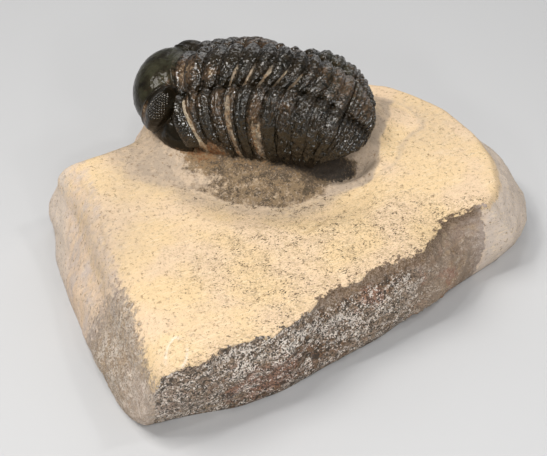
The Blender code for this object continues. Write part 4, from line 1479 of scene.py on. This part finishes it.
@dataclass(frozen=True)
class ThoraxPlate:
    """One plate of the thorax: an axial ring between two ribs, each with its own slanting furrow."""

    number: int
    across_steps: int = 400
    along_steps: int = 30
    shell: float = 0.85
    crest: float = 0.85
    crest_share: float = 0.55
    furrow_depth: float = 0.34
    axial_furrow: float = 0.34
    knob: float = 0.42
    tip_start: float = 0.93
    opened_depth: float = 0.85
    turn_share: float = 0.98

    def profile(self, share: Array) -> Array:
        """Height of a plate from front to back: low at the front, a crest, and a sharp fall at the back."""
        rise = smooth(share / self.crest_share) ** 0.8
        fall = smooth((1 - share) / (1 - self.crest_share) * 1.2) ** 0.7
        return self.crest * rise * fall - 0.30 * (1 - smooth(share / 0.3)) - 0.14

    def relief(self, share: Array, along: Array, across: Array, points: Array) -> Array:
        """The plate's height over the smooth back.

        The profile is scaled by how wide the plate is there. A slanting furrow parts the rib in two bands.
        The axial furrow is a bell at the axis's edge, with a knob on each bank. Creases of folded noise lean
        over the ribs, strongest where they bunch up near the tail, and lumps and pits roughen it all.

        Args:
            share: Shares of the plate from front to back.
            along: Distances along the back.
            across: Shares across the body.
            points: The places in the body's frame, for the noise.

        Returns:
            Heights in millimetres.
        """
        side = np.abs(across)
        narrow = np.minimum(BODY.spacing(along, across), 1.0)
        rib = smooth((side - 0.40) / 0.12)
        wander = 0.16 * Grain.fractal(points, 3.5, 2, 34)
        strength = 1 + 0.45 * Grain.fractal(points, 4.0, 2, 35)
        slant = 0.36 + 0.22 * (side - 0.4) / 0.6 + wander
        furrow = self.furrow_depth * rib * bell((share - slant) / 0.11) * (1 - smooth((side - 0.82) / 0.15))
        height = self.profile(share + 0.5 * wander) * narrow * (1 - 0.22 * rib) * strength - furrow * narrow
        height -= self.axial_furrow * bell((side - 0.375) / 0.028) * (0.7 + 0.8 * bell((share - 0.15) / 0.25))
        banks = bell((side - 0.325) / 0.03) + 0.8 * bell((side - 0.435) / 0.035)
        height += self.knob * bell((share - 0.55) / 0.28) * banks * narrow
        strokes = np.stack([along - 6.0 * across, 4.2 * across, 0 * along], -1)
        creased = 0.36 * Grain.fractal(strokes, 0.95, 2, 39, ridged=True)
        bunched = smooth((along - 16) / 8) * smooth(-3 * across)
        height *= 1 - 0.3 * bunched
        height += creased * (0.3 * narrow + (0.4 + 0.7 * narrow) * bunched)
        height *= 1 - 0.85 * WEAR.far_smooth(along, across)
        ridges = Grain.fractal(points, 1.1, 2, 32, ridged=True)
        lumps = 0.27 * Grain.fractal(points, 3.0, 3, 31) + 0.14 * ridges
        nearest, chosen = Grain.cells(points, 1.15, 33)
        pits = 0.40 * (chosen > 0.62) * smooth((0.42 - nearest) / 0.3)
        calm = 1 - 0.7 * self.smooth_finger(along, across)
        return height + (lumps - pits) * (0.5 + 0.5 * narrow) * calm

    @staticmethod
    def smooth_finger(along: Array, across: Array) -> Array:
        """Where a rib's near end is polished smooth: bells round two of them."""
        first = bell(np.hypot((along - 16.2) / 1.7, (across + 0.78) / 0.24))
        return np.maximum(first, bell(np.hypot((along - 24.0) / 1.8, (across + 0.82) / 0.22)))

    def mottle(self, along: Array, across: Array) -> Array:
        """How far the brown film and the fine bumps show: less on the polished ends, more near the tail."""
        return (0.7 + 0.3 * smooth((along - 22) / 12)) * (1 - 0.9 * self.smooth_finger(along, across))

    def build(self, finish: Material) -> None:
        """Sweeps the plate's ring of points, over the top and back underneath, from margin to margin."""
        joints = BODY.joints()
        start, end = joints[self.number - 1], joints[self.number]
        turn = math.pi / 2 * self.turn_share
        across = np.sin(np.linspace(-turn, turn, self.across_steps)) / math.sin(turn)
        ring_share, under = over_and_under(self.along_steps)
        side, ring = np.meshgrid(across, ring_share, indexing="ij")
        scale = BODY.spacing(np.full_like(side, (start + end) / 2), side)
        front = start + SLITS.half(self.number - 1, side, BODY.surface(start + 0 * side, side)) / scale
        back = end - SLITS.half(self.number, side, BODY.surface(end + 0 * side, side)) / scale
        tip = np.clip((np.abs(side) - self.tip_start) / (1 - self.tip_start), 0, 1)
        length = np.maximum(back - front, 0.3) * np.sqrt(np.maximum(1 - tip**2, 0.09))
        distance = (front + back) / 2 + (ring - 0.5) * length
        place = BODY.surface(distance, side)
        opened = WEAR.open_at(distance, side, place)
        top = self.relief(ring, distance, side, place) - self.opened_depth * smooth(opened * 1.5)
        height = np.where(under, -self.shell - 0.7 * smooth(opened * 1.5), top)
        surface = closed_sweep(BODY.to_world(BODY.raised(distance, side, height)))
        surface.marks = sweep_marks(
            worn=WEAR.brown_at(distance, side),
            cavity=np.clip(0.72 - 1.7 * (top + 0.3), 0, 1) * ~under,
            bloom=0.45 * smooth((distance - 26) / 8) * smooth(side + 0.6),
            mottle=self.mottle(distance, side),
        )
        name = f"thorax_plate_{self.number:02d}"
        surface.build(name, finish, Slot.SHELL, (f"thorax_segment_{self.number:02d}",))


@dataclass(frozen=True)
class TailShield:
    """The fused tail: an axis of narrow rings, ribs that slant to the border, and a smooth border."""

    start_gap: float = 0.15
    end_gap: float = 0.35
    along_steps: int = 150
    across_steps: int = 300
    floor_steps: int = 4
    rings: int = 8
    ribs: int = 7
    ring_rise: float = 0.55

    def relief(self, distance: Array, across: Array, scale: Array, points: Array) -> Array:
        """Height over the smooth back: cosine rings on the axis, cosine ribs beside it, lumps and pits."""
        side = np.abs(across)
        share = BODY.tail_share(distance)
        on_axis = 1 - smooth((side - 0.33) / 0.06)
        fade = smooth((1 - side) / 0.2) * smooth((1 - share) / 0.25)
        rings = 0.5 - 0.5 * np.cos(2 * math.pi * self.rings * share**0.9)
        ribs = 0.5 - 0.5 * np.cos(2 * math.pi * self.ribs * (share + 0.05 * (side - 0.4)))
        height = self.ring_rise * fade * (on_axis * rings + (1 - on_axis) * ribs) * np.minimum(scale * 1.4, 1)
        height -= 0.14 * bell((side - 0.37) / 0.05) * smooth((0.85 - share) / 0.2)
        ridges = Grain.fractal(points, 1.0, 2, 37, ridged=True)
        lumps = 0.36 * Grain.fractal(points, 2.4, 3, 36) + 0.16 * ridges
        nearest, chosen = Grain.cells(points, 1.3, 38)
        pits = 0.36 * (chosen > 0.55) * smooth((0.45 - nearest) / 0.3)
        return height + (lumps - pits) * smooth((1 - share) / 0.1) - 0.05

    def build(self, finish: Material) -> None:
        """Sweeps the tail's section from the thorax to its tip, closed by a floor between the margins."""
        share = np.linspace(0, 1, self.along_steps)
        start, end = BODY.thorax_length + self.start_gap, BODY.back_end - self.end_gap
        along = start + (end - start) * (0.55 * share + 0.45 * np.sin(share * math.pi / 2))
        distance, side = np.meshgrid(along, np.linspace(-1, 1, self.across_steps), indexing="ij")
        scale = BODY.spacing(distance, side)
        height = self.relief(distance, side, scale, BODY.surface(distance, side))
        arch = BODY.raised(distance, side, height)
        shares = np.linspace(1, -1, self.floor_steps + 2)[1:-1]
        floor = [arch[:, -1] * (1 + s) / 2 + arch[:, 0] * (1 - s) / 2 for s in shares]
        rings = np.concatenate([arch, np.stack(floor, 1)], axis=1)
        surface = closed_sweep(BODY.to_world(rings))
        surface.marks = sweep_marks(
            self.floor_steps,
            worn=WEAR.brown_at(distance, side),
            cavity=np.clip(0.7 - 1.8 * (height + 0.35), 0, 1),
            bloom=0.55 * smooth((0.5 - np.abs(side - 0.2)) / 0.4),
            mottle=np.ones_like(side),
        )
        surface.build("tail_plate", finish, Slot.SHELL, ("tail_shield",))


@dataclass(frozen=True)
class Ball:
    """An ellipsoid in the body's frame: its middle, its three radii, and a lean of its top along x."""

    centre: Place
    radii: Place
    lean: float = 0.0

    def offset(self, points: Array) -> Array:
        """The way from the middle to each point, with the lean taken back."""
        offset = points - np.array(self.centre)
        offset[..., 0] -= self.lean * offset[..., 2]
        return offset

    def slope(self, points: Array) -> Array:
        """The outward direction at points, as long as k times its steepness, k being the scaled radius."""
        slope = self.offset(points) / np.array(self.radii) ** 2
        slope[..., 2] -= self.lean * slope[..., 0]
        return slope

    def distance(self, points: Array) -> Array:
        """Roughly how far points lie outside it: (k - 1) k over the length of the slope."""
        scaled = np.linalg.norm(self.offset(points) / np.array(self.radii), axis=-1)
        return scaled * (scaled - 1) / np.maximum(np.linalg.norm(self.slope(points), axis=-1), 1e-6)

    def point(self, turn: Array, tilt: Array) -> Array:
        """Points of its surface by turn round z from -y, and by tilt over the level."""
        unit = np.stack([np.sin(turn) * np.cos(tilt), -np.cos(turn) * np.cos(tilt), np.sin(tilt)], -1)
        way = unit * np.array(self.radii)
        way[..., 0] += self.lean * way[..., 2]
        return np.array(self.centre) + way


@dataclass(frozen=True)
class Eye:
    """An eye: its ball, and the field of lenses by tilt over the level and by turn, in degrees."""

    ball: Ball
    low: float
    high: float
    turn: float
    half_turn: float
    rim: float


@dataclass(frozen=True)
class HeadShield:
    """The head: the swollen glabella, the cheeks, and two eyes on their stalks, with furrows between."""

    glabella: Ball = Ball((-22.9, 0, 3.5), (7.9, 10.8, 8.1))
    root: Ball = Ball((-17.6, 0, 5.6), (6.5, 6.8, 6.6))
    cheeks: Ball = Ball((-14.8, 0, 0.0), (11.8, 15.8, 9.0))
    near_eye: Eye = Eye(Ball((-21.3, -10.4, 6.7), (2.9, 4.1, 6.1), 0.4), 8.0, 70.0, -14.0, 56.0, 0.10)
    far_eye: Eye = Eye(Ball((-20.2, 10.4, 5.0), (4.0, 2.9, 3.8)), -22.0, 34.0, 0.0, 70.0, 0.30)
    centre: Place = (-18.6, 0, 3.0)
    sharpness: float = 3.2
    reach: tuple[float, float] = (2.0, 24.0)
    cut_share: float = 0.6
    turns: int = 380
    tilts: int = 210
    furrow: float = 0.75
    eye_groove: float = 0.6
    lens_gap: float = 0.70
    lens_radius: float = 0.31
    lens_height: float = 0.5
    lens_sides: int = 9
    lens_rings: tuple[float, ...] = (-35.0, 15.0, 60.0)

    def distances(self, points: Array) -> Array:
        """Each ball's distance, one row for each ball."""
        balls = (self.glabella, self.root, self.cheeks, self.near_eye.ball, self.far_eye.ball)
        return np.stack([ball.distance(points) for ball in balls])

    def distance(self, points: Array) -> Array:
        """The balls run into each other: minus the log of the sum of e to the power of -k times distance."""
        return -np.log(np.sum(np.exp(-self.sharpness * self.distances(points)), axis=0)) / self.sharpness

    def radius(self, rays: Array) -> Array:
        """How far out the surface lies along each ray from the head's centre, found by halving.

        Args:
            rays: Unit vectors.

        Returns:
            The outermost crossing along each.
        """
        steps = np.linspace(*self.reach, 90)
        centre = np.array(self.centre)
        last = np.zeros(len(rays), int)
        for index, step in enumerate(steps):
            last = np.where(self.distance(centre + rays * step) < 0, index, last)
        low = steps[last]
        high = low + (steps[1] - steps[0])
        for _ in range(12):
            middle = (low + high) / 2
            inside = self.distance(centre + rays * middle[:, None]) < 0
            low, high = np.where(inside, middle, low), np.where(inside, high, middle)
        return low

    def cut(self, rays: Array, radius: Array) -> Array:
        """Stops the rays at the plane behind the head and at the floor under it."""
        along = -self.cut_share * BODY.border_length
        top_x, top_z = BODY.back_point(along)
        foot_x, foot_z = BODY.margin_point(along)
        planes = (
            (np.array([top_z - foot_z, 0, foot_x - top_x]), np.array([top_x, 0, top_z])),
            (np.array([0, 0, -1.0]), np.array([0, 0, -0.1])),
        )
        for normal, point in planes:
            steep = rays @ normal
            level = (point - np.array(self.centre)) @ normal
            radius = np.minimum(radius, np.where(steep > 1e-6, level / np.maximum(steep, 1e-6), 1e3))
        return radius

    def skin(self) -> Surface:
        """Carries a grid of rays to the surface; its poles point back-down, which is hidden, and front-up."""
        tilt = np.linspace(0, math.pi, self.tilts + 2)[1:-1]
        turn = np.arange(self.turns) / self.turns * 2 * math.pi
        tilt, turn = np.meshgrid(tilt, turn, indexing="ij")
        pole = np.array([0.8, 0, -0.6])
        side = np.array([0, 1.0, 0])
        third = np.cross(pole, side)
        rays = np.cos(tilt)[..., None] * pole + np.sin(tilt)[..., None] * (
            np.cos(turn)[..., None] * side + np.sin(turn)[..., None] * third
        )
        flat = rays.reshape(-1, 3)
        radius = self.cut(flat, self.radius(flat))
        points = np.array(self.centre) + flat * radius[:, None]
        return closed_sweep(points.reshape(rays.shape))

    def relief(self, points: Array) -> tuple[Array, Array]:
        """Deepens the valleys between the balls, cuts the eyes' rims and the near eye's groove, adds pits.

        Args:
            points: The skin's points.

        Returns:
            Heights, and how much of each point is a valley.
        """
        ordered = np.sort(self.distances(points), axis=0)
        valley = bell((ordered[1] - ordered[0]) / 0.75)
        height = -self.furrow * valley
        for eye in (self.near_eye, self.far_eye):
            unit = eye.ball.offset(points) / np.array(eye.ball.radii)
            unit /= np.linalg.norm(unit, axis=1, keepdims=True)
            tilt = np.degrees(np.arcsin(unit[:, 2]))
            outer = smooth(unit[:, 1] * math.copysign(1, eye.ball.centre[1]) * 2.2 + 0.6)
            on_eye = outer * (eye.ball.distance(points) < 0.6)
            rims = bell((tilt - eye.high - 8) / 6) + 0.8 * bell((tilt - eye.low + 8) / 6)
            height -= eye.rim * on_eye * rims
        x, y, z = points.T
        behind_eye = bell((x + 17.9 - 0.25 * (z - 7)) / 0.9) * bell((z - 7.5) / 5.5)
        height -= self.eye_groove * behind_eye * smooth((-y - 8.5) / 2)
        height += 0.10 * Grain.fractal(points, 3.0, 3, 51)
        nearest, chosen = Grain.cells(points, 1.5, 52)
        pitted = 0.3 + 0.7 * smooth((x + 21) / 3)
        return height - 0.22 * pitted * (chosen > 0.72) * smooth((0.4 - nearest) / 0.3), valley

    def build(self, finish: Material, lens: Material) -> None:
        """Builds the head's skin with its furrows and marks, and then both eyes' lenses."""
        surface = self.skin()
        height, valley = self.relief(surface.points)
        normal = surface.normals()
        low = smooth((surface.points[:, 2] - 0.2) / 0.8)
        surface.points = surface.points + normal * (height * low)[:, None]
        x, y, z = surface.points.T
        balls = self.distances(surface.points)
        on_glabella = smooth((balls[2:].min(axis=0) - balls[0]) / 1.5)
        wear = 0.9 * bell(np.hypot((x + 17.2) / 2.6, (y + 2.6) / 3.4))
        wear = np.maximum(wear, 0.55 * bell(np.hypot((x + 20.0) / 2.0, (y + 6.0) / 2.2)))
        before_eye = bell(np.hypot((x + 24.6) / 1.3, (z - 5.6) / 3.6)) * smooth((-y - 8.5) / 2)
        wear = np.maximum(wear, 0.80 * before_eye)
        wear = np.maximum(wear, 0.45 * smooth((1.2 - z) / 1.2))
        surface.marks = {
            "worn": wear,
            "cavity": 0.30 * valley,
            # A painted olive sheen over the top of the glabella, and a faint olive tint over the rest of it.
            "bloom": 0.9 * on_glabella * smooth((z - 5) / 4) + 0.25 * on_glabella,
            "mottle": 0.16 + 0.7 * smooth((x + 22.0) / 3) * smooth((y + 9.5) / 2),
        }
        surface.points = BODY.to_world(surface.points)
        surface.build("head_plate", finish, Slot.SHELL, ("head_shield",))
        self.lenses(self.near_eye).build("near_eye_lenses", lens, Slot.SHELL)
        self.lenses(self.far_eye).build("far_eye_lenses", lens, Slot.SHELL)

    def lenses(self, eye: Eye) -> Surface:
        """Sets small domes in staggered rows over the field of lenses on the eye's outer face.

        A dome is a grid of tilt rings and turn steps round the ball's own outward direction, closed below by
        its sunken base ring's middle.

        Args:
            eye: The eye.

        Returns:
            All the domes of one eye.
        """
        ball = eye.ball
        facing = -math.copysign(1, ball.centre[1])
        count = round(math.radians(eye.high - eye.low) * ball.radii[2] / self.lens_gap)
        rows, columns = np.meshgrid(np.arange(count + 1), np.arange(-12, 13), indexing="ij")
        tilt = np.radians(eye.low + (eye.high - eye.low) * rows / count)
        reach = (ball.radii[0] + ball.radii[1]) / 2 * np.cos(tilt)
        turn = self.lens_gap * (columns + 0.5 * (rows % 2)) / reach
        kept = np.abs(turn) < math.radians(eye.half_turn)
        middle = ball.point(turn[kept] + math.radians(eye.turn), tilt[kept])
        away = ball.slope(middle)
        away /= np.linalg.norm(away, axis=1, keepdims=True)
        level = np.cross(away, [0.0, 0.0, 1.0])
        level /= np.linalg.norm(level, axis=1, keepdims=True)
        upward = np.cross(level, away)
        around, rings = self.lens_sides, len(self.lens_rings)
        spin = np.arange(around) / around * 2 * math.pi
        rise = np.radians(np.array(self.lens_rings))[:, None]
        parts = (
            (np.cos(rise) * np.cos(spin), level),
            (np.cos(rise) * np.sin(spin), upward),
            (self.lens_height * np.sin(rise) + 0 * spin, away),
        )
        offset = sum(share[..., None] * way[:, None, None] for share, way in parts)
        ring_points = middle[:, None, None] + offset * self.lens_radius
        top = (middle + away * self.lens_height * self.lens_radius)[:, None]
        under = (middle - away * self.lens_radius * 0.6)[:, None]
        domes = np.concatenate([ring_points.reshape(len(middle), -1, 3), top, under], axis=1)
        domes[..., 1] = ball.centre[1] + (domes[..., 1] - ball.centre[1]) * facing
        here = np.arange(around)
        after = (here + 1) % around
        crown, foot = around * rings, around * rings + 1
        fans = np.concatenate([
            np.stack([(rings - 1) * around + here, (rings - 1) * around + after, np.full(around, crown)], -1),
            np.stack([after, here, np.full(around, foot)], -1),
        ])
        quads = grid_quads(rings, around, wrap=True)
        if facing < 0:
            quads, fans = quads[:, ::-1], fans[:, ::-1]
        first = np.arange(len(middle))[:, None, None] * (crown + 2)
        faces = [(quads[None] + first).reshape(-1, 4), (fans[None] + first).reshape(-1, 3)]
        surface = Surface(BODY.to_world(domes.reshape(-1, 3)), faces)
        surface.marks = dict.fromkeys(("worn", "cavity", "bloom", "mottle"), np.zeros(1))
        return surface


@dataclass(frozen=True)
class NeckBorder:
    """The border behind the head's furrow: the neck ring on the axis and the raised rim of the cheeks."""

    start: float = -3.2
    end: float = -0.45
    near_end: float = -0.95
    across_steps: int = 400
    along_steps: int = 26
    shell: float = 1.2
    rise: float = 0.75
    mottle: float = 0.7

    def build(self, finish: Material) -> None:
        """Sweeps a ring of points from margin to margin: a half sine over the top and a flat underside."""
        ring_share, under = over_and_under(self.along_steps)
        side, ring = np.meshgrid(np.linspace(self.near_end, 1, self.across_steps), ring_share, indexing="ij")
        distance = self.start + (self.end - self.start) * ring
        place = BODY.surface(distance, side)
        opened = WEAR.open_at(distance, side, place)
        lumps = 0.12 * Grain.fractal(place, 2.0, 3, 61) + 0.06 * Grain.fractal(place, 0.7, 2, 62)
        top = self.rise * np.sin(math.pi * ring**0.8) - 0.15 + lumps
        top -= 0.35 * bell((np.abs(side) - 0.37) / 0.03) + 0.7 * smooth(opened * 1.4)
        surface = closed_sweep(BODY.to_world(BODY.raised(distance, side, np.where(under, -self.shell, top))))
        marks = sweep_marks(worn=WEAR.brown_at(distance, side), cavity=0.5 * smooth((ring - 0.8) / 0.2))
        surface.marks = {**marks, "bloom": np.zeros(1), "mottle": np.full(1, self.mottle)}
        surface.build("neck_border", finish, Slot.SHELL)


@dataclass(frozen=True)
class Studio:
    """The camera at the photograph's angle, soft lights, and a plain pale floor."""

    distance: float = 250.0
    elevation: float = 40.0
    target_height: float = 20.0
    focal_pixels: float = 1180.0
    sensor_width: float = 36.0
    floor_reach: float = 3.0
    floor_colour: Colour = (0.52, 0.52, 0.52)
    floor_roughness: float = 0.8
    surroundings_colour: Colour = (0.8, 0.82, 0.86)
    surroundings_strength: float = 0.20
    white: Colour = (1.0, 1.0, 1.0)
    warm: Colour = (1.0, 0.98, 0.955)
    cool: Colour = (0.98, 0.98, 1.0)
    spark_size: float = 36.0
    sparks: tuple[tuple[Place, float], ...] = (
        ((-210, -150, 430), 0.30),
        ((40, -300, 400), 0.30),
        ((230, -60, 420), 0.26),
        ((-60, -60, 520), 0.30),
        ((150, -330, 220), 0.20),
        ((-150, -330, 260), 0.20),
        ((60, -430, 150), 0.24),
        ((-170, -400, 120), 0.14),
    )

    def camera(self) -> None:
        """Places the camera in front of the slab, looking down on it."""
        data = bpy.data.cameras.new("camera")
        data.sensor_width = self.sensor_width
        data.lens = self.focal_pixels * self.sensor_width / IMAGE_WIDTH
        data.clip_start, data.clip_end = 0.01, 10.0
        camera = bpy.data.objects.new("camera", data)
        bpy.context.scene.collection.objects.link(camera)
        tilt = math.radians(self.elevation)
        target = Vector((-FOOTPRINT_MIDDLE[0], -FOOTPRINT_MIDDLE[1], self.target_height))
        back = Vector((0, -math.cos(tilt), math.sin(tilt)))
        camera.location = (target + back * self.distance) * MM
        camera.rotation_euler = (math.pi / 2 - tilt, 0, 0)
        bpy.context.scene.camera = camera

    def lamp(self, name: str, place: tuple, size: float, watts: float, colour: tuple) -> None:
        """Adds a square lamp at a place and as wide as its size, in millimetres, that faces the object."""
        data = bpy.data.lights.new(name, "AREA")
        data.size = size * MM
        data.energy = watts
        data.color = colour
        lamp = bpy.data.objects.new(name, data)
        bpy.context.scene.collection.objects.link(lamp)
        lamp.location = Vector(place) * MM
        lamp.rotation_euler = (Vector((0, 0, 20 * MM)) - lamp.location).to_track_quat("-Z", "Y").to_euler()

    def floor(self) -> None:
        """Lays a pale floor that isn't part of the object."""
        mesh = bpy.data.meshes.new("floor")
        reach = self.floor_reach
        corners = [(-reach, -reach, 0), (reach, -reach, 0), (reach, reach, 0), (-reach, reach, 0)]
        mesh.from_pydata(corners, [], [(0, 1, 2, 3)])
        pale = {"Base Color": (*self.floor_colour, 1), "Roughness": self.floor_roughness}
        mesh.materials.append(NodeGraph("pale_floor").finished(pale))
        floor = bpy.data.objects.new("floor", mesh)
        bpy.context.scene.collection.objects.link(floor)

    def build(self) -> None:
        """Sets up the camera, the lamps, the floor and the grey surroundings."""
        self.camera()
        self.floor()
        self.lamp("key", (-290, -60, 560), 230, 2.05, self.warm)
        self.lamp("fill", (300, -330, 300), 460, 0.50, self.cool)
        self.lamp("rim", (80, 420, 330), 320, 0.6, self.white)
        for number, (place, watts) in enumerate(self.sparks):
            self.lamp(f"spark_{number}", place, self.spark_size, watts, self.white)
        world = bpy.data.worlds.new("surroundings")
        world.use_nodes = True
        background = world.node_tree.nodes["Background"]
        background.inputs["Color"].default_value = (*self.surroundings_colour, 1)
        background.inputs["Strength"].default_value = self.surroundings_strength
        bpy.context.scene.world = world
        bpy.context.scene.view_settings.view_transform = "Standard"


def main() -> None:
    """Builds the slab, the rock in the body, the shield's plates and the studio."""
    logging.basicConfig(level=logging.INFO, format="%(name)s: %(message)s")
    limestone = LimestoneFinish().material("dressed_limestone")
    in_joints = LimestoneFinish(
        skirt=(0.40, 0.34, 0.245), scoop=(0.19, 0.145, 0.10), scoop_dark=(0.09, 0.066, 0.045),
        earth=(0.19, 0.115, 0.055), rust=(0.16, 0.062, 0.022),
    ).material("rock_in_the_joints")
    shell = FossilShellFinish().material("black_calcite")
    # The head's olive is the colour of its painted sheen.
    head_shell = FossilShellFinish(
        olive=(0.030, 0.029, 0.016), roughness=(0.28, 0.44), coat=0.26, coat_roughness=0.10, ripple=0.15,
    ).material("black_calcite_of_the_head")
    lens = FossilShellFinish(
        roughness=(0.05, 0.10), specular=0.5, coat=0.9, coat_roughness=0.03,
    ).material("lens_calcite")
    LimestoneSlab().build(limestone)
    RockInfill().build(in_joints)
    HeadShield().build(head_shell, lens)
    NeckBorder().build(shell)
    for number in range(1, BODY.segments + 1):
        ThoraxPlate(number).build(shell)
    TailShield().build(shell)
    Studio().build()


if __name__ == "__main__":
    main()
